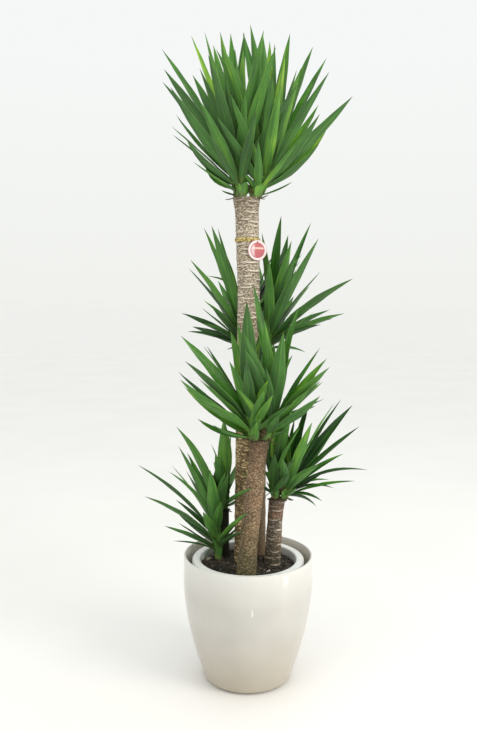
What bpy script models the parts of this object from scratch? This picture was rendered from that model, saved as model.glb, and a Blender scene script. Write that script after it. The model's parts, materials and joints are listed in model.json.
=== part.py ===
"""A potted yucca: five sawn canes with leafy shoots, in soil, in a grow pot, in a round planter.

Lengths are metres and +Z is up. The origin is the middle of the planter's foot, on the floor,
and the plant's front looks towards -Y.
"""
import math
import random
from collections import namedtuple

import bmesh
import bpy
from mathutils import Vector
from mathutils.bvhtree import BVHTree

MM = 0.001
GAP = 0.0003
UP = Vector((0.0, 0.0, 1.0))

# Planter: a turned pot, widest at the shoulder
POT_HEIGHT = 0.343
POT_SHOULDER_Z = 0.27
POT_SHOULDER_R = 0.1765
POT_RIM_R = 0.175
POT_TAPER = 0.333
POT_TAPER_POWER = 1.7
POT_FOOT_R = 0.100
POT_FOOT_ROUND = 0.020
POT_WALL = 0.0045
POT_FLOOR = 0.006
POT_CORNER = 0.008
POT_RIM_ROUND = 0.0015
POT_BELLY_HEIGHTS = (0.065, 0.125, 0.20, 0.275)
POT_INSIDE_HEIGHTS = (0.28, 0.12)
POT_SIDES = 28

# Soil: a plug of potting mix with a lumpy top
SOIL_TOP = 0.308
SOIL_LUMP = 0.0035
SOIL_SIDES = 20
SOIL_RINGS = (0.112, 0.08, 0.04)
SOIL_FACET_SLACK = 0.0012
HOLE_SLACK = 0.0005

# Liner: the grow pot, with a broad rolled rim
LINER_FLOOR_Z = POT_FLOOR + GAP
LINER_TOP = 0.331
LINER_RIM_OUTER_R = 0.153
LINER_RIM_INNER_R = 0.131
LINER_RIM_DROP = 0.019
LINER_STEP_Z = SOIL_TOP + 0.012
LINER_FOOT_R = 0.088
LINER_NECK_R = 0.137
LINER_WALL = 0.003
LINER_EDGE = 0.004
LINER_ROUND = 0.005
LINER_CORNER = 0.007
LINER_SIDES = 24
DRAIN_HOLE_R = 0.006
DRAIN_CIRCLE_R = 0.055
DRAIN_HOLE_SIDES = 6

# Canes stand this deep, and are plain and upright up to just over the soil
CANE_FOOT = 0.252
CANE_PLAIN_TOP = 0.318
CANE_SIDES = 12
SCAR_DEPTH = 0.045
SCAR_WAVES = 1.5
SCAR_STEP = 2.4
SWELL_HEIGHT = 0.022
SWELL_WIDTH = 0.75

# Green stems that the leaves grow from: how they thin towards the top, and the soft tip
STEM_SIDES = 7
STEM_THINNING = 0.45
STEM_THIN_POWER = 1.3
STEM_TIP_HEIGHT = 0.010
STEM_TIP_R = 0.0025
LOW_SHOOT_FOOT_Z = 0.284
LOW_SHOOT_UPRIGHT = 0.2

# Leaf blades: where each ring lies along the blade, and the share of the full width there
LONG_BLADE = ((0.0, 0.42), (0.17, 0.74), (0.45, 1.0), (0.78, 0.58))
SHORT_BLADE = ((0.0, 0.46), (0.38, 1.0), (0.73, 0.64))
SHORT_LEAF = 0.30
BLADE_THICK = 0.0022
BLADE_ROOT_THICK = 1.2
BLADE_TIP_THIN = 0.5
BLADE_FOLD = 0.22
BLADE_BACKWARD = 0.6

# Where leaves grow: the flattest ones low on the stem, the upright ones near its top. The outline
# leaves were read from one side, so they are let go only along the line of sight from that point.
HIGHEST_LEAF = 0.94
CROWN_MIDDLE = 0.23
LOWEST_TILT = math.radians(75)
TILT_POWER = 1.2
ROOT_DEPTH = 0.3
SHORT_LEAF_WIDTH = 0.35
FULL_WIDTH_LENGTH = 0.85
OUTLINE_TURN = (0.35, 0.85)
UNDERSIDE_FROM = math.radians(100)
VIEWPOINT = Vector((-0.029, -1.92, 1.03))
DEPTH_SWING = 0.09
TIP_SWING = 0.005

# The spiral that fills a shoot: angles in radians, and lengths as shares of the longest leaf
GOLDEN_ANGLE = math.radians(137.5)
SPIRAL_START = math.radians(37)
SPIRAL_SWING = 0.6
SPIRAL_TWIST = 0.6
TILT_SWING = 0.2
TILT_EASE = 0.8
YOUNGEST_TILT = math.radians(6)
CROWDED = 0.45
FLAT_FROM = math.radians(30)
FLAT_SPAN = math.radians(40)
FULL_REACH = 0.96
FLAT_LOSS = 0.80
YOUNG_LOSS = 0.16
LENGTH_SPREAD = 0.88
UPRIGHT_BOW = 0.03
FLAT_DROOP = 0.07

# Clear-bending: a blade is tried this much larger, and turned a little further at each try
CLEARANCE = 0.0022
TRIES = 60
TURN_COST = 0.15
BEYOND_ROOT_COST = 3
MOST_CROSSINGS = 60

# Tag and tie on the tall cane
TIE_Z = 1.193
TIE_HEIGHT = 0.010
TIE_THICK = 0.0016
TIE_SLACK = 0.0012
TIE_SIDES = 12
TAG_R = 0.027
TAG_THICK = 0.0010
TAG_CENTRE_X = 0.020
TAG_CENTRE_Z = 1.165
TAG_TURN = math.radians(22)
TAG_SIDES = 20
TAG_WINDOW = 0.12

Cane = namedtuple("Cane", "name path scar_pitch swell colour")
Leaf = namedtuple("Leaf", "root tip bow width roll out")
Shoot = namedtuple("Shoot", "name cane foot lean height girth bare leaves longest widest tilt crowd "
                            "shade seed outline")

# Canes: a path of (across, back, height, radius), bottom to top, then the height between scars, and
# how much the bark swells under its shoots and on which sides
CANES = (
    Cane("cane_tall", ((-0.006, 0.030, 0.316, 0.0320), (-0.0035, 0.030, 0.70, 0.0315),
                       (-0.0015, 0.030, 1.05, 0.0298), (-0.0095, 0.030, 1.305, 0.0318)),
         0.048, (0.14, -176, 2), (0.52, 0.42, 0.31)),
    Cane("cane_back", ((0.0250, 0.0905, 0.316, 0.0258), (0.0245, 0.0915, 0.60, 0.0255),
                       (0.0225, 0.090, 0.887, 0.0270)),
         0.052, (0.20, 180, 0), (0.42, 0.32, 0.23)),
    Cane("cane_front", ((-0.0065, -0.088, 0.316, 0.0265), (0.0000, -0.086, 0.40, 0.0236),
                        (0.012, -0.075, 0.51, 0.0240), (0.0275, -0.053, 0.667, 0.0225)),
         0.036, (0.22, 180, 0), (0.43, 0.31, 0.22)),
    Cane("cane_right", ((0.0670, 0.004, 0.316, 0.0225), (0.0727, 0.005, 0.43, 0.0204),
                        (0.0783, 0.006, 0.494, 0.0203)),
         0.029, (0.12, 180, 0), (0.25, 0.17, 0.12)),
    Cane("cane_left", ((-0.069, 0.072, 0.316, 0.0160), (-0.069, 0.072, 0.38, 0.0150),
                       (-0.069, 0.072, 0.443, 0.0155)),
         0.026, (0.0, 0), (0.17, 0.12, 0.09)),
)

# Outline leaves of each shoot: the tip across, back and up from the shoot's foot, and the bow of the
# blade, all in millimetres. A bow over zero arches the blade, and one under zero hollows it. A fifth
# number is given for a narrow or a broad leaf: its share of the usual width.
TOP_LEFT = (
    (-210, 20, 390, 6), (-195, -70, 310, 4), (-210, 60, 315, 4), (-175, -110, 255, -6),
    (-170, 0, 215, -10), (-140, -60, 140, -14), (-95, 20, 85, -14), (-50, -30, 15, -4),
    (-135, 60, 440, 6, 0.7), (-90, -80, 395, 4, 0.5), (-55, -50, 410, 4), (-75, 70, 420, 4),
    (-30, 50, 440, 4), (-15, -90, 355, 6), (-135, 70, 340, 6), (-105, -130, 220, 4),
    (10, 30, 435, 4), (15, -60, 150, 6), (-80, -120, 330, 6), (-40, -150, 270, 6), (10, -130, 240, 6),
    (10, -40, 375, 4), (-45, -10, 385, 4), (-110, -20, 330, 4),
)
TOP_RIGHT = (
    (-15, -60, 425, 4), (95, 70, 450, 4), (15, -60, 395, 4), (55, 90, 430, 4, 0.7),
    (30, -110, 320, 4), (150, 20, 395, 6), (195, 70, 385, 6, 0.8), (190, -60, 310, 4, 0.8),
    (105, -80, 310, 4, 0.6), (250, -40, 255, -4), (175, 70, 265, -6), (160, -110, 195, -10),
    (190, -10, 180, -16), (165, -50, 130, -14), (100, -20, 40, -6), (10, -10, 385, 4),
    (-35, 30, 435, 4), (-50, 40, 130, 6), (-40, -40, 60, 8), (60, -150, 250, 4), (-15, -140, 260, 4),
    (40, -30, 400, 4), (75, -50, 350, 4), (120, -20, 330, 4),
)
BACK_LEFT = (
    (-135, 40, 350, 8, 0.8), (-110, -30, 350, 6), (-95, 70, 355, 6, 0.5), (-170, 10, 260, 8),
    (-125, 20, 215, 60), (-130, -60, 145, 8, 0.7), (-195, -10, 110, 8), (-140, -50, 85, 8),
    (-170, 60, 70, 6), (-175, -40, 60, 10), (-100, 90, 205, 6), (-70, 10, 5, 8, 0.7),
)
BACK_RIGHT = (
    (50, 10, 380, 6), (75, 60, 335, 4), (75, -70, 305, 4), (140, 80, 370, 8, 0.6),
    (150, -30, 315, 4), (80, -110, 270, 8), (135, 60, 185, 8, 0.7), (245, -30, 205, 14),
    (195, 60, 120, 10), (220, -60, 115, 12), (150, 30, 90, 10), (155, -90, 85, 12),
    (120, -20, 5, 12, 0.6), (-5, 30, 335, 4), (200, 10, 95, 12, 0.7),
)
FRONT_LEFT = (
    (-190, -35, 275, 10), (-175, -95, 215, 8), (-205, 55, 175, -6, 0.6), (-190, -45, 165, -8),
    (-145, -115, 120, 10), (-185, 35, 140, -10, 0.7), (-125, 85, 245, 4, 0.5), (-150, 5, 55, -14),
    (-45, -35, 310, 4), (-25, -25, 365, 4, 1.25), (-15, -105, 255, 8), (-65, -85, 215, 6),
    (30, -115, 170, 8), (-105, -5, 40, -10, 0.6), (-64, 40, 285, 4, 1.25), (10, -110, 75, 12),
    (10, -60, 265, 4), (25, -40, 320, 4, 0.8),
)
FRONT_RIGHT = (
    (85, -10, 350, 8), (65, 50, 275, 4), (150, 70, 240, 4, 0.5), (155, -10, 220, 4),
    (160, -40, 195, 4), (160, 80, 145, 6, 0.7), (140, -50, 125, -6), (135, 30, 85, 12),
    (155, -30, 115, 8, 0.6), (40, -50, 290, 4, 1.25), (14, -95, 262, 6, 1.2), (-30, -50, 318, 4, 1.2),
    (-36, -20, 410, 4, 0.9), (-10, -30, 320, 4), (-5, -75, 200, 4),
)
RIGHT_INNER = (
    (25, 60, 270, 4), (0, 90, 255, 6), (-25, 60, 145, 4), (40, 0, 255, 2),
    (-40, -60, 90, 12), (-30, -60, 20, 10, 0.7), (10, -70, 180, 6), (45, -100, 130, 6),
    (-35, -30, 165, 4), (-10, -75, 140, 6),
)
RIGHT_OUTER = (
    (160, 45, 270, 6, 0.5), (130, -35, 270, 6, 0.5), (185, 15, 255, 8), (200, -25, 205, 6, 0.8),
    (150, 65, 185, 6), (155, -35, 135, 10, 0.7), (225, -25, 85, 30, 0.5), (185, -65, 65, 10, 0.5),
    (130, 45, 40, 18, 0.5), (135, -25, 35, 20, 0.5), (100, -45, 5, 14, 0.7), (90, -5, -25, 12, 0.7),
    (70, -65, 225, 4), (70, 30, 265, 4), (85, -110, 120, 8),
)
LEFT_HIGH = (
    (0, -10, 262, 2, 1.35), (20, 30, 215, 2, 0.5), (80, -225, 120, 6, 0.6),
    (-30, 30, 130, 4), (15, -50, 125, 6), (-20, -60, 175, 4),
)
LEFT_LOW = (
    (-115, -25, 405, 24), (-105, -65, 360, 6, 0.6), (-85, 5, 325, 10, 0.8), (-135, -45, 285, 18, 0.8),
    (-215, -75, 310, 16, 0.5), (-195, -95, 230, 12), (-120, -5, 195, 6, 0.6), (-145, -65, 140, 4),
    (-120, -85, 105, 6, 0.5), (30, -75, 285, 4), (40, -45, 260, 4), (-20, -95, 305, 6),
    (80, -185, 215, 6, 0.6), (70, -170, 160, 6, 0.6),
    (0, -65, 320, 4), (-35, -15, 270, 4), (15, -15, 280, 4), (10, -110, 220, 6), (-30, -60, 235, 6),
)

# Shoots: foot, how far the stem's top leans, its height and girth, the number of leaves that the rule
# adds, the longest and widest leaf, the tilt of the outer leaves, and where the next shoot stands
SHOOTS = (
    Shoot("shoot_top_left", "cane_tall", (-0.0265, 0.028), (-0.004, -0.002), 0.105, 0.0180, 0.06,
          32, 0.435, 0.035, 52, 0, (0.10, 0.33, 0.10), 11, TOP_LEFT),
    Shoot("shoot_top_right", "cane_tall", (0.0120, 0.032), (0.0445, 0.002), 0.105, 0.0180, 0.06,
          32, 0.435, 0.035, 52, 180, (0.11, 0.36, 0.10), 12, TOP_RIGHT),
    Shoot("shoot_back_left", "cane_back", (0.006, 0.091), (-0.030, 0.004), 0.085, 0.0135, 0.08,
          22, 0.370, 0.033, 62, 0, (0.09, 0.30, 0.11), 13, BACK_LEFT),
    Shoot("shoot_back_right", "cane_back", (0.038, 0.089), (0.026, -0.002), 0.085, 0.0135, 0.08,
          20, 0.390, 0.035, 62, 180, (0.10, 0.33, 0.10), 14, BACK_RIGHT),
    Shoot("shoot_front_left", "cane_front", (0.0135, -0.054), (-0.012, -0.004), 0.085, 0.0138, 0.08,
          24, 0.365, 0.037, 58, 10, (0.12, 0.36, 0.10), 15, FRONT_LEFT),
    Shoot("shoot_front_right", "cane_front", (0.0425, -0.050), (0.024, 0.0), 0.085, 0.0138, 0.08,
          22, 0.365, 0.036, 58, 190, (0.12, 0.37, 0.11), 16, FRONT_RIGHT),
    Shoot("shoot_right_inner", "cane_right", (0.0738, 0.005), (-0.010, 0.004), 0.065, 0.0105, 0.10,
          12, 0.270, 0.030, 62, 0, (0.09, 0.31, 0.12), 17, RIGHT_INNER),
    Shoot("shoot_right_outer", "cane_right", (0.0971, 0.007), (0.0164, -0.002), 0.068, 0.0110, 0.10,
          12, 0.300, 0.031, 66, 180, (0.11, 0.34, 0.11), 18, RIGHT_OUTER),
    Shoot("shoot_left_high", "cane_left", (-0.069, 0.072), (0.004, -0.006), 0.080, 0.0125, 0.08,
          5, 0.240, 0.032, 55, 220, (0.12, 0.36, 0.10), 19, LEFT_HIGH),
    Shoot("shoot_left_low", "", (-0.083, 0.045), (-0.010, 0.0), 0.190, 0.0115, 0.27,
          12, 0.320, 0.034, 60, 55, (0.11, 0.35, 0.10), 20, LEFT_LOW),
)


def clear_scene():
    for old in list(bpy.data.objects):
        bpy.data.objects.remove(old, do_unlink=True)


def material(name, colour, roughness, metallic=0.0):
    made = bpy.data.materials.new(name)
    made.use_nodes = True
    shader = made.node_tree.nodes["Principled BSDF"]
    shader.inputs["Base Color"].default_value = (*colour, 1.0)
    shader.inputs["Roughness"].default_value = roughness
    shader.inputs["Metallic"].default_value = metallic
    return made


def solid(name, points, faces, finish, smooth_angle=35):
    """One closed object from points and faces, with its faces turned outwards."""
    mesh = bpy.data.meshes.new(name)
    mesh.from_pydata([tuple(p) for p in points], [], faces)
    work = bmesh.new()
    work.from_mesh(mesh)
    bmesh.ops.recalc_face_normals(work, faces=work.faces)
    work.to_mesh(mesh)
    work.free()
    mesh.materials.append(finish)
    mesh.shade_smooth()
    mesh.set_sharp_from_angle(angle=math.radians(smooth_angle))
    made = bpy.data.objects.new(name, mesh)
    bpy.context.collection.objects.link(made)
    return made


def skin_rings(rings):
    """Points and faces of rings of equal length, joined in order and closed at both ends."""
    count = len(rings[0])
    points = [p for ring in rings for p in ring]
    faces = [tuple(reversed(range(count)))]
    for k in range(len(rings) - 1):
        low = k * count
        for j in range(count):
            after = (j + 1) % count
            faces.append((low + j, low + after, low + count + after, low + count + j))
    faces.append(tuple(range(len(points) - count, len(points))))
    return points, faces


def circle(centre, radius, sides):
    """A level ring of points."""
    turns = [2 * math.pi * k / sides for k in range(sides)]
    return [Vector((centre[0] + radius * math.cos(a), centre[1] + radius * math.sin(a), centre[2]))
            for a in turns]


def turned(name, outline, sides, finish):
    """A solid turned round Z from an outline of (radius, height) that starts and ends off the axis."""
    return solid(name, *skin_rings([circle((0, 0, z), r, sides) for r, z in outline]), finish)


def cut(target, cutters):
    """Takes the cutters out of the target, applies it, and removes the cutters."""
    group = bpy.data.collections.new("cutters")
    bpy.context.scene.collection.children.link(group)
    for cutter in cutters:
        bpy.context.collection.objects.unlink(cutter)
        group.objects.link(cutter)
    combine(target, group, "DIFFERENCE")


def combine(target, group, operation):
    """One Boolean of the target with a collection, applied, with the collection's objects removed."""
    boolean = target.modifiers.new("combine", "BOOLEAN")
    boolean.operation = operation
    boolean.operand_type = "COLLECTION"
    boolean.collection = group
    boolean.solver = "EXACT"
    graph = bpy.context.evaluated_depsgraph_get()
    joined = bpy.data.meshes.new_from_object(target.evaluated_get(graph))
    target.modifiers.clear()
    target.data = joined
    for part in list(group.objects):
        bpy.data.objects.remove(part, do_unlink=True)
    bpy.data.collections.remove(group)


def pot_radius(z):
    """The planter's outer radius: a belly that narrows to the foot and draws in a little at the rim."""
    if z > POT_SHOULDER_Z:
        rise = (z - POT_SHOULDER_Z) / (POT_HEIGHT - POT_SHOULDER_Z)
        return POT_SHOULDER_R - (POT_SHOULDER_R - POT_RIM_R) * rise ** 2
    drop = (POT_SHOULDER_Z - z) / POT_SHOULDER_Z
    return POT_SHOULDER_R * (1 - POT_TAPER * drop ** POT_TAPER_POWER)


def make_planter():
    foot = [(POT_FOOT_R, 0.0)]
    foot_wall_r = pot_radius(POT_FOOT_ROUND)
    for turn in (math.radians(45), math.radians(90)):
        foot.append((POT_FOOT_R + (foot_wall_r - POT_FOOT_R) * math.sin(turn),
                     POT_FOOT_ROUND * (1 - math.cos(turn))))
    edge_z = POT_HEIGHT - POT_RIM_ROUND
    inner_r = POT_RIM_R - POT_WALL
    outer = [(pot_radius(z), z) for z in (*POT_BELLY_HEIGHTS, edge_z)]
    rim = [(POT_RIM_R - POT_RIM_ROUND, POT_HEIGHT), (inner_r + POT_RIM_ROUND, POT_HEIGHT),
           (inner_r, edge_z)]
    inner = [(pot_radius(z) - POT_WALL, z) for z in POT_INSIDE_HEIGHTS]
    floor = [(foot_wall_r - POT_CORNER, POT_FLOOR + 1.5 * POT_CORNER),
             (POT_FOOT_R - POT_CORNER / 2, POT_FLOOR)]
    finish = material("glossy_white", (0.86, 0.84, 0.79), 0.18)
    return turned("planter", foot + outer + rim + inner + floor, POT_SIDES, finish)


def liner_inner_radius(z):
    """The inner wall of the liner, a straight taper from its floor to under the rim."""
    share = (z - LINER_FLOOR_Z) / (LINER_TOP - LINER_RIM_DROP - LINER_FLOOR_Z)
    return LINER_FOOT_R + (LINER_NECK_R - LINER_FOOT_R) * min(share, 1.0) - LINER_WALL


def make_liner():
    low = LINER_FLOOR_Z
    under_rim = LINER_TOP - LINER_RIM_DROP
    shoulder_z = LINER_TOP - 0.2 * LINER_ROUND
    outline = [(LINER_FOOT_R - LINER_EDGE, low), (LINER_FOOT_R, low + LINER_EDGE),
               (LINER_NECK_R, under_rim),
               (LINER_RIM_OUTER_R - LINER_EDGE, under_rim), (LINER_RIM_OUTER_R, under_rim + LINER_EDGE),
               (LINER_RIM_OUTER_R, LINER_TOP - LINER_ROUND),
               (LINER_RIM_OUTER_R - 0.8 * LINER_ROUND, shoulder_z),
               (LINER_RIM_OUTER_R - 2 * LINER_ROUND, LINER_TOP),
               (LINER_RIM_INNER_R + 0.8 * LINER_ROUND, shoulder_z),
               (LINER_RIM_INNER_R, LINER_TOP - LINER_ROUND), (LINER_RIM_INNER_R, LINER_STEP_Z),
               (liner_inner_radius(low + LINER_CORNER), low + LINER_CORNER),
               (LINER_FOOT_R - 2 * LINER_ROUND, low + LINER_WALL)]
    finish = material("liner_white", (0.80, 0.82, 0.83), 0.40)
    liner = turned("liner", outline, LINER_SIDES, finish)
    places = [(0.0, 0.0)] + [(DRAIN_CIRCLE_R * math.cos(a), DRAIN_CIRCLE_R * math.sin(a))
                             for a in (math.pi * k / 2 for k in range(4))]
    drills = []
    for x, y in places:
        rings = [circle((x, y, z), DRAIN_HOLE_R, DRAIN_HOLE_SIDES)
                 for z in (low - LINER_WALL, low + 2 * LINER_WALL)]
        drills.append(solid("drill", *skin_rings(rings), finish))
    cut(liner, drills)
    return liner


def soil_wall_radius(z):
    """The soil's radius against the liner's inner wall, kept inside its flat facets."""
    low_z = LINER_FLOOR_Z + LINER_CORNER
    share = (z - low_z) / (LINER_STEP_Z - low_z)
    wall = liner_inner_radius(low_z) + (LINER_RIM_INNER_R - liner_inner_radius(low_z)) * share
    return wall * math.cos(math.pi / LINER_SIDES) - GAP


def make_soil(stems):
    """The soil plug, with a hole of its own for each (x, y, radius, bottom) in stems."""
    draws = random.Random(4)
    low = LINER_FLOOR_Z + LINER_WALL + GAP
    corner_z = low + LINER_CORNER - GAP
    edge_z = SOIL_TOP - SOIL_LUMP
    rings = [circle((0, 0, low), LINER_FOOT_R - LINER_WALL - LINER_CORNER, SOIL_SIDES),
             circle((0, 0, corner_z), liner_inner_radius(corner_z) - SOIL_FACET_SLACK, SOIL_SIDES),
             circle((0, 0, edge_z), soil_wall_radius(edge_z), SOIL_SIDES),
             circle((0, 0, SOIL_TOP), soil_wall_radius(SOIL_TOP), SOIL_SIDES)]
    for radius in SOIL_RINGS:
        ring = circle((0, 0, SOIL_TOP), radius, SOIL_SIDES)
        for p in ring:
            p.z += draws.uniform(-0.4, 1.0) * SOIL_LUMP
        rings.append(ring)
    finish = material("potting_mix", (0.05, 0.035, 0.025), 0.95)
    soil = solid("soil", *skin_rings(rings), finish, 60)
    drills = []
    for x, y, radius, bottom in stems:
        holes = [circle((x, y, z), radius + HOLE_SLACK, CANE_SIDES)
                 for z in (bottom - GAP, SOIL_TOP + 2 * SOIL_LUMP)]
        drills.append(solid("drill", *skin_rings(holes), finish))
    cut(soil, drills)
    return soil


def path_point(path, z):
    """Centre and radius of a cane at height z, smoothed through its path."""
    z = min(max(z, path[0][2]), path[-1][2])
    for a, b in zip(path, path[1:]):
        if z <= b[2]:
            share = (z - a[2]) / (b[2] - a[2])
            return [a[i] + (b[i] - a[i]) * share for i in (0, 1)] + [a[3] + (b[3] - a[3]) * share]
    return [path[-1][0], path[-1][1], path[-1][3]]


def make_cane(cane):
    """A cane: plain below the soil's top, with staggered leaf scars above it and a flat sawn top."""
    path = cane.path
    top = path[-1][2]
    foot_x, foot_y, foot_r = path_point(path, 0.0)
    rings = [circle((foot_x, foot_y, z), foot_r, CANE_SIDES) for z in (CANE_FOOT, CANE_PLAIN_TOP)]
    rows = round((top - CANE_PLAIN_TOP) / cane.scar_pitch)
    for row in range(1, rows + 1):
        z = CANE_PLAIN_TOP + (top - CANE_PLAIN_TOP) * row / rows
        x, y, r = path_point(path, z)
        plain = row == rows or abs(z - TIE_Z) < 0.75 * cane.scar_pitch
        ring = []
        for side in range(CANE_SIDES):
            turn = 2 * math.pi * side / CANE_SIDES
            scar = 0.0 if plain else math.sin(SCAR_WAVES * turn + SCAR_STEP * row) * (-1) ** row
            swell = sum(math.exp(-(angle_between(turn, math.radians(a)) / SWELL_WIDTH) ** 2)
                        for a in cane.swell[1:])
            swell *= cane.swell[0] * math.exp(-((top - z) / SWELL_HEIGHT) ** 2)
            reach = r * (1 + SCAR_DEPTH * scar + swell)
            ring.append(Vector((x + reach * math.cos(turn), y + reach * math.sin(turn), z)))
        rings.append(ring)
    finish = material(cane.name + "_bark", cane.colour, 0.85)
    return solid(cane.name, *skin_rings(rings), finish, 30)


def angle_between(a, b):
    return abs((a - b + math.pi) % (2 * math.pi) - math.pi)


def make_tie():
    """A flat band round the tall cane, a little clear of its bark."""
    x, y, r = path_point(CANES[0].path, TIE_Z)
    inner = r + TIE_SLACK
    outer = inner + TIE_THICK
    low, high = TIE_Z - TIE_HEIGHT / 2, TIE_Z + TIE_HEIGHT / 2
    section = ((outer, low), (outer, high), (inner, high), (inner, low))
    rings = [circle((x, y, z), radius, TIE_SIDES) for radius, z in section]
    points = [p for ring in rings for p in ring]
    faces = []
    for k in range(4):
        here, there = TIE_SIDES * k, TIE_SIDES * ((k + 1) % 4)
        for j in range(TIE_SIDES):
            after = (j + 1) % TIE_SIDES
            faces.append((here + j, here + after, there + after, there + j))
    return solid("tie", points, faces, material("tie_yellow", (0.72, 0.55, 0.10), 0.6))


def tag_shape(thick):
    """A round card that hangs against the tie, turned to face a little to the side."""
    x, y, r = path_point(CANES[0].path, TIE_Z)
    reach = r + TIE_SLACK + TIE_THICK + GAP
    facing = Vector((math.sin(TAG_TURN), -math.cos(TAG_TURN), 0.0))
    along = Vector((math.cos(TAG_TURN), math.sin(TAG_TURN), 0.0))
    middle = Vector((x, y, TAG_CENTRE_Z)) + facing * reach
    middle += along * ((TAG_CENTRE_X - middle.x) / along.x)
    rings = []
    for depth in (0.0, thick):
        turns = [2 * math.pi * k / TAG_SIDES for k in range(TAG_SIDES)]
        rings.append([middle + facing * depth + (along * math.cos(a) + UP * math.sin(a)) * TAG_R
                      for a in turns])
    return skin_rings(rings)


def tree_of(points, faces):
    return BVHTree.FromPolygons([tuple(p) for p in points], faces)


def joined(pieces):
    """Points and faces of several pieces as one list of each."""
    points, faces = [], []
    for some_points, some_faces in pieces:
        base = len(points)
        points += some_points
        faces += [tuple(base + i for i in face) for face in some_faces]
    return points, faces


def spine(leaf, share):
    """A point on the leaf's middle line and the direction there."""
    along = (leaf.tip - leaf.root).normalized()
    rise = (UP - BLADE_BACKWARD * leaf.out).normalized()
    rise = (rise - rise.dot(along) * along).normalized()
    middle = (leaf.root + leaf.tip) / 2 + rise * 2 * leaf.bow
    rest = 1 - share
    here = leaf.root * rest ** 2 + middle * 2 * share * rest + leaf.tip * share ** 2
    tangent = ((middle - leaf.root) * rest + (leaf.tip - middle) * share).normalized()
    face = (rise - rise.dot(tangent) * tangent).normalized()
    side = tangent.cross(face)
    turn = leaf.roll * math.sqrt(share)
    return here, face * math.cos(turn) + side * math.sin(turn), side * math.cos(turn) - face * math.sin(turn)


def blade(leaf, grow=0.0):
    """A folded leaf blade as points and triangles.

    Each ring has a left edge, a midrib top, a right edge and a midrib bottom. The triangles are
    split alike on both faces. A grow over zero makes the larger blade that tests for clearance.
    """
    points = []
    shape = SHORT_BLADE if (leaf.tip - leaf.root).length < SHORT_LEAF else LONG_BLADE
    for share, wide in shape:
        here, face, side = spine(leaf, share)
        half = leaf.width * wide / 2 + grow
        thick = BLADE_THICK * (BLADE_ROOT_THICK - BLADE_TIP_THIN * share)
        lift = face * (BLADE_FOLD * half)
        points += [here - side * half + lift, here + face * grow, here + side * half + lift,
                   here - face * (thick + grow)]
    points.append(leaf.tip + (leaf.tip - leaf.root).normalized() * grow)
    last = len(points) - 1
    faces = [(0, 3, 1), (1, 3, 2)]
    for k in range(len(shape) - 1):
        left, top, right, under = range(4 * k, 4 * k + 4)
        left_on, top_on, right_on, under_on = range(4 * k + 4, 4 * k + 8)
        faces += [(left, top, top_on), (left, top_on, left_on),
                  (right, top_on, top), (right, right_on, top_on),
                  (left, under_on, under), (left, left_on, under_on),
                  (right, under, under_on), (right, under_on, right_on)]
    a = last - 4
    faces += [(a, a + 1, last), (a + 1, a + 2, last), (a + 2, a + 3, last), (a + 3, a, last)]
    return points, faces


def stem_axis(shoot, foot_z, share):
    """The middle of a shoot's green stem, which leans out low down and then rises.

    The shoot that stands in the soil is upright in its hole.
    """
    upright = 0.0 if shoot.cane else LOW_SHOOT_UPRIGHT
    ease = math.sin(max(0.0, share - upright) / (1 - upright) * math.pi / 2)
    return Vector((shoot.foot[0] + shoot.lean[0] * ease, shoot.foot[1] + shoot.lean[1] * ease,
                   foot_z + shoot.height * share))


def stem_radius(shoot, share):
    return shoot.girth * (1.0 - STEM_THINNING * share ** STEM_THIN_POWER)


def stem_shape(shoot, foot_z):
    """The green stem, level at its foot, that the leaves are fused to."""
    shares = (0.0, 0.5, 1.0) if shoot.cane else (0.0, LOW_SHOOT_UPRIGHT, 0.5, 1.0)
    rings = [circle(stem_axis(shoot, foot_z, share), stem_radius(shoot, share), STEM_SIDES)
             for share in shares]
    rings.append(circle(stem_axis(shoot, foot_z, 1.0) + UP * STEM_TIP_HEIGHT, STEM_TIP_R, STEM_SIDES))
    return skin_rings(rings)


def leaf_on(shoot, foot_z, tip, bow, roll):
    """A leaf with this tip. The further it leans out, the lower on the stem it grows."""
    lean = (tip - stem_axis(shoot, foot_z, shoot.bare + CROWN_MIDDLE))
    upright = max(0.0, 1 - lean.angle(UP) / LOWEST_TILT) ** TILT_POWER
    share = shoot.bare + (HIGHEST_LEAF - shoot.bare) * upright
    out = Vector((lean.x, lean.y, 0.0)).normalized()
    root = stem_axis(shoot, foot_z, share) + out * stem_radius(shoot, share) * ROOT_DEPTH
    grown = (tip - root).length / (FULL_WIDTH_LENGTH * shoot.longest)
    width = shoot.widest * min(1.0, SHORT_LEAF_WIDTH + (1 - SHORT_LEAF_WIDTH) * grown)
    return Leaf(root, tip, bow, width, roll, out)


def outline_leaf(shoot, foot_z, entry, draws, swing):
    """One leaf of the outline list. Its tip is let go along the line of sight and a little across it.

    The blade is twisted part of the way towards the front, so that its face shows: the upper face, or
    the underside where the upper one looks away.
    """
    across, back, up, bow, *share = entry
    tip = Vector((shoot.foot[0] + across * MM, shoot.foot[1] + back * MM, foot_z + up * MM))
    tip += (tip - VIEWPOINT).normalized() * draws.uniform(-DEPTH_SWING, DEPTH_SWING) * swing
    tip += Vector([draws.uniform(-TIP_SWING, TIP_SWING) for _ in range(3)]) * swing
    leaf = leaf_on(shoot, foot_z, tip, bow * MM, 0.0)
    _, face, side = spine(leaf, 0.5)
    turn = math.atan2(-side.y, -face.y)
    if abs(turn) > UNDERSIDE_FROM:
        turn -= math.copysign(math.pi, turn)
    width = leaf.width * (share[0] if share else 1.0)
    return leaf._replace(width=width, roll=turn * draws.uniform(*OUTLINE_TURN))


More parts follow.
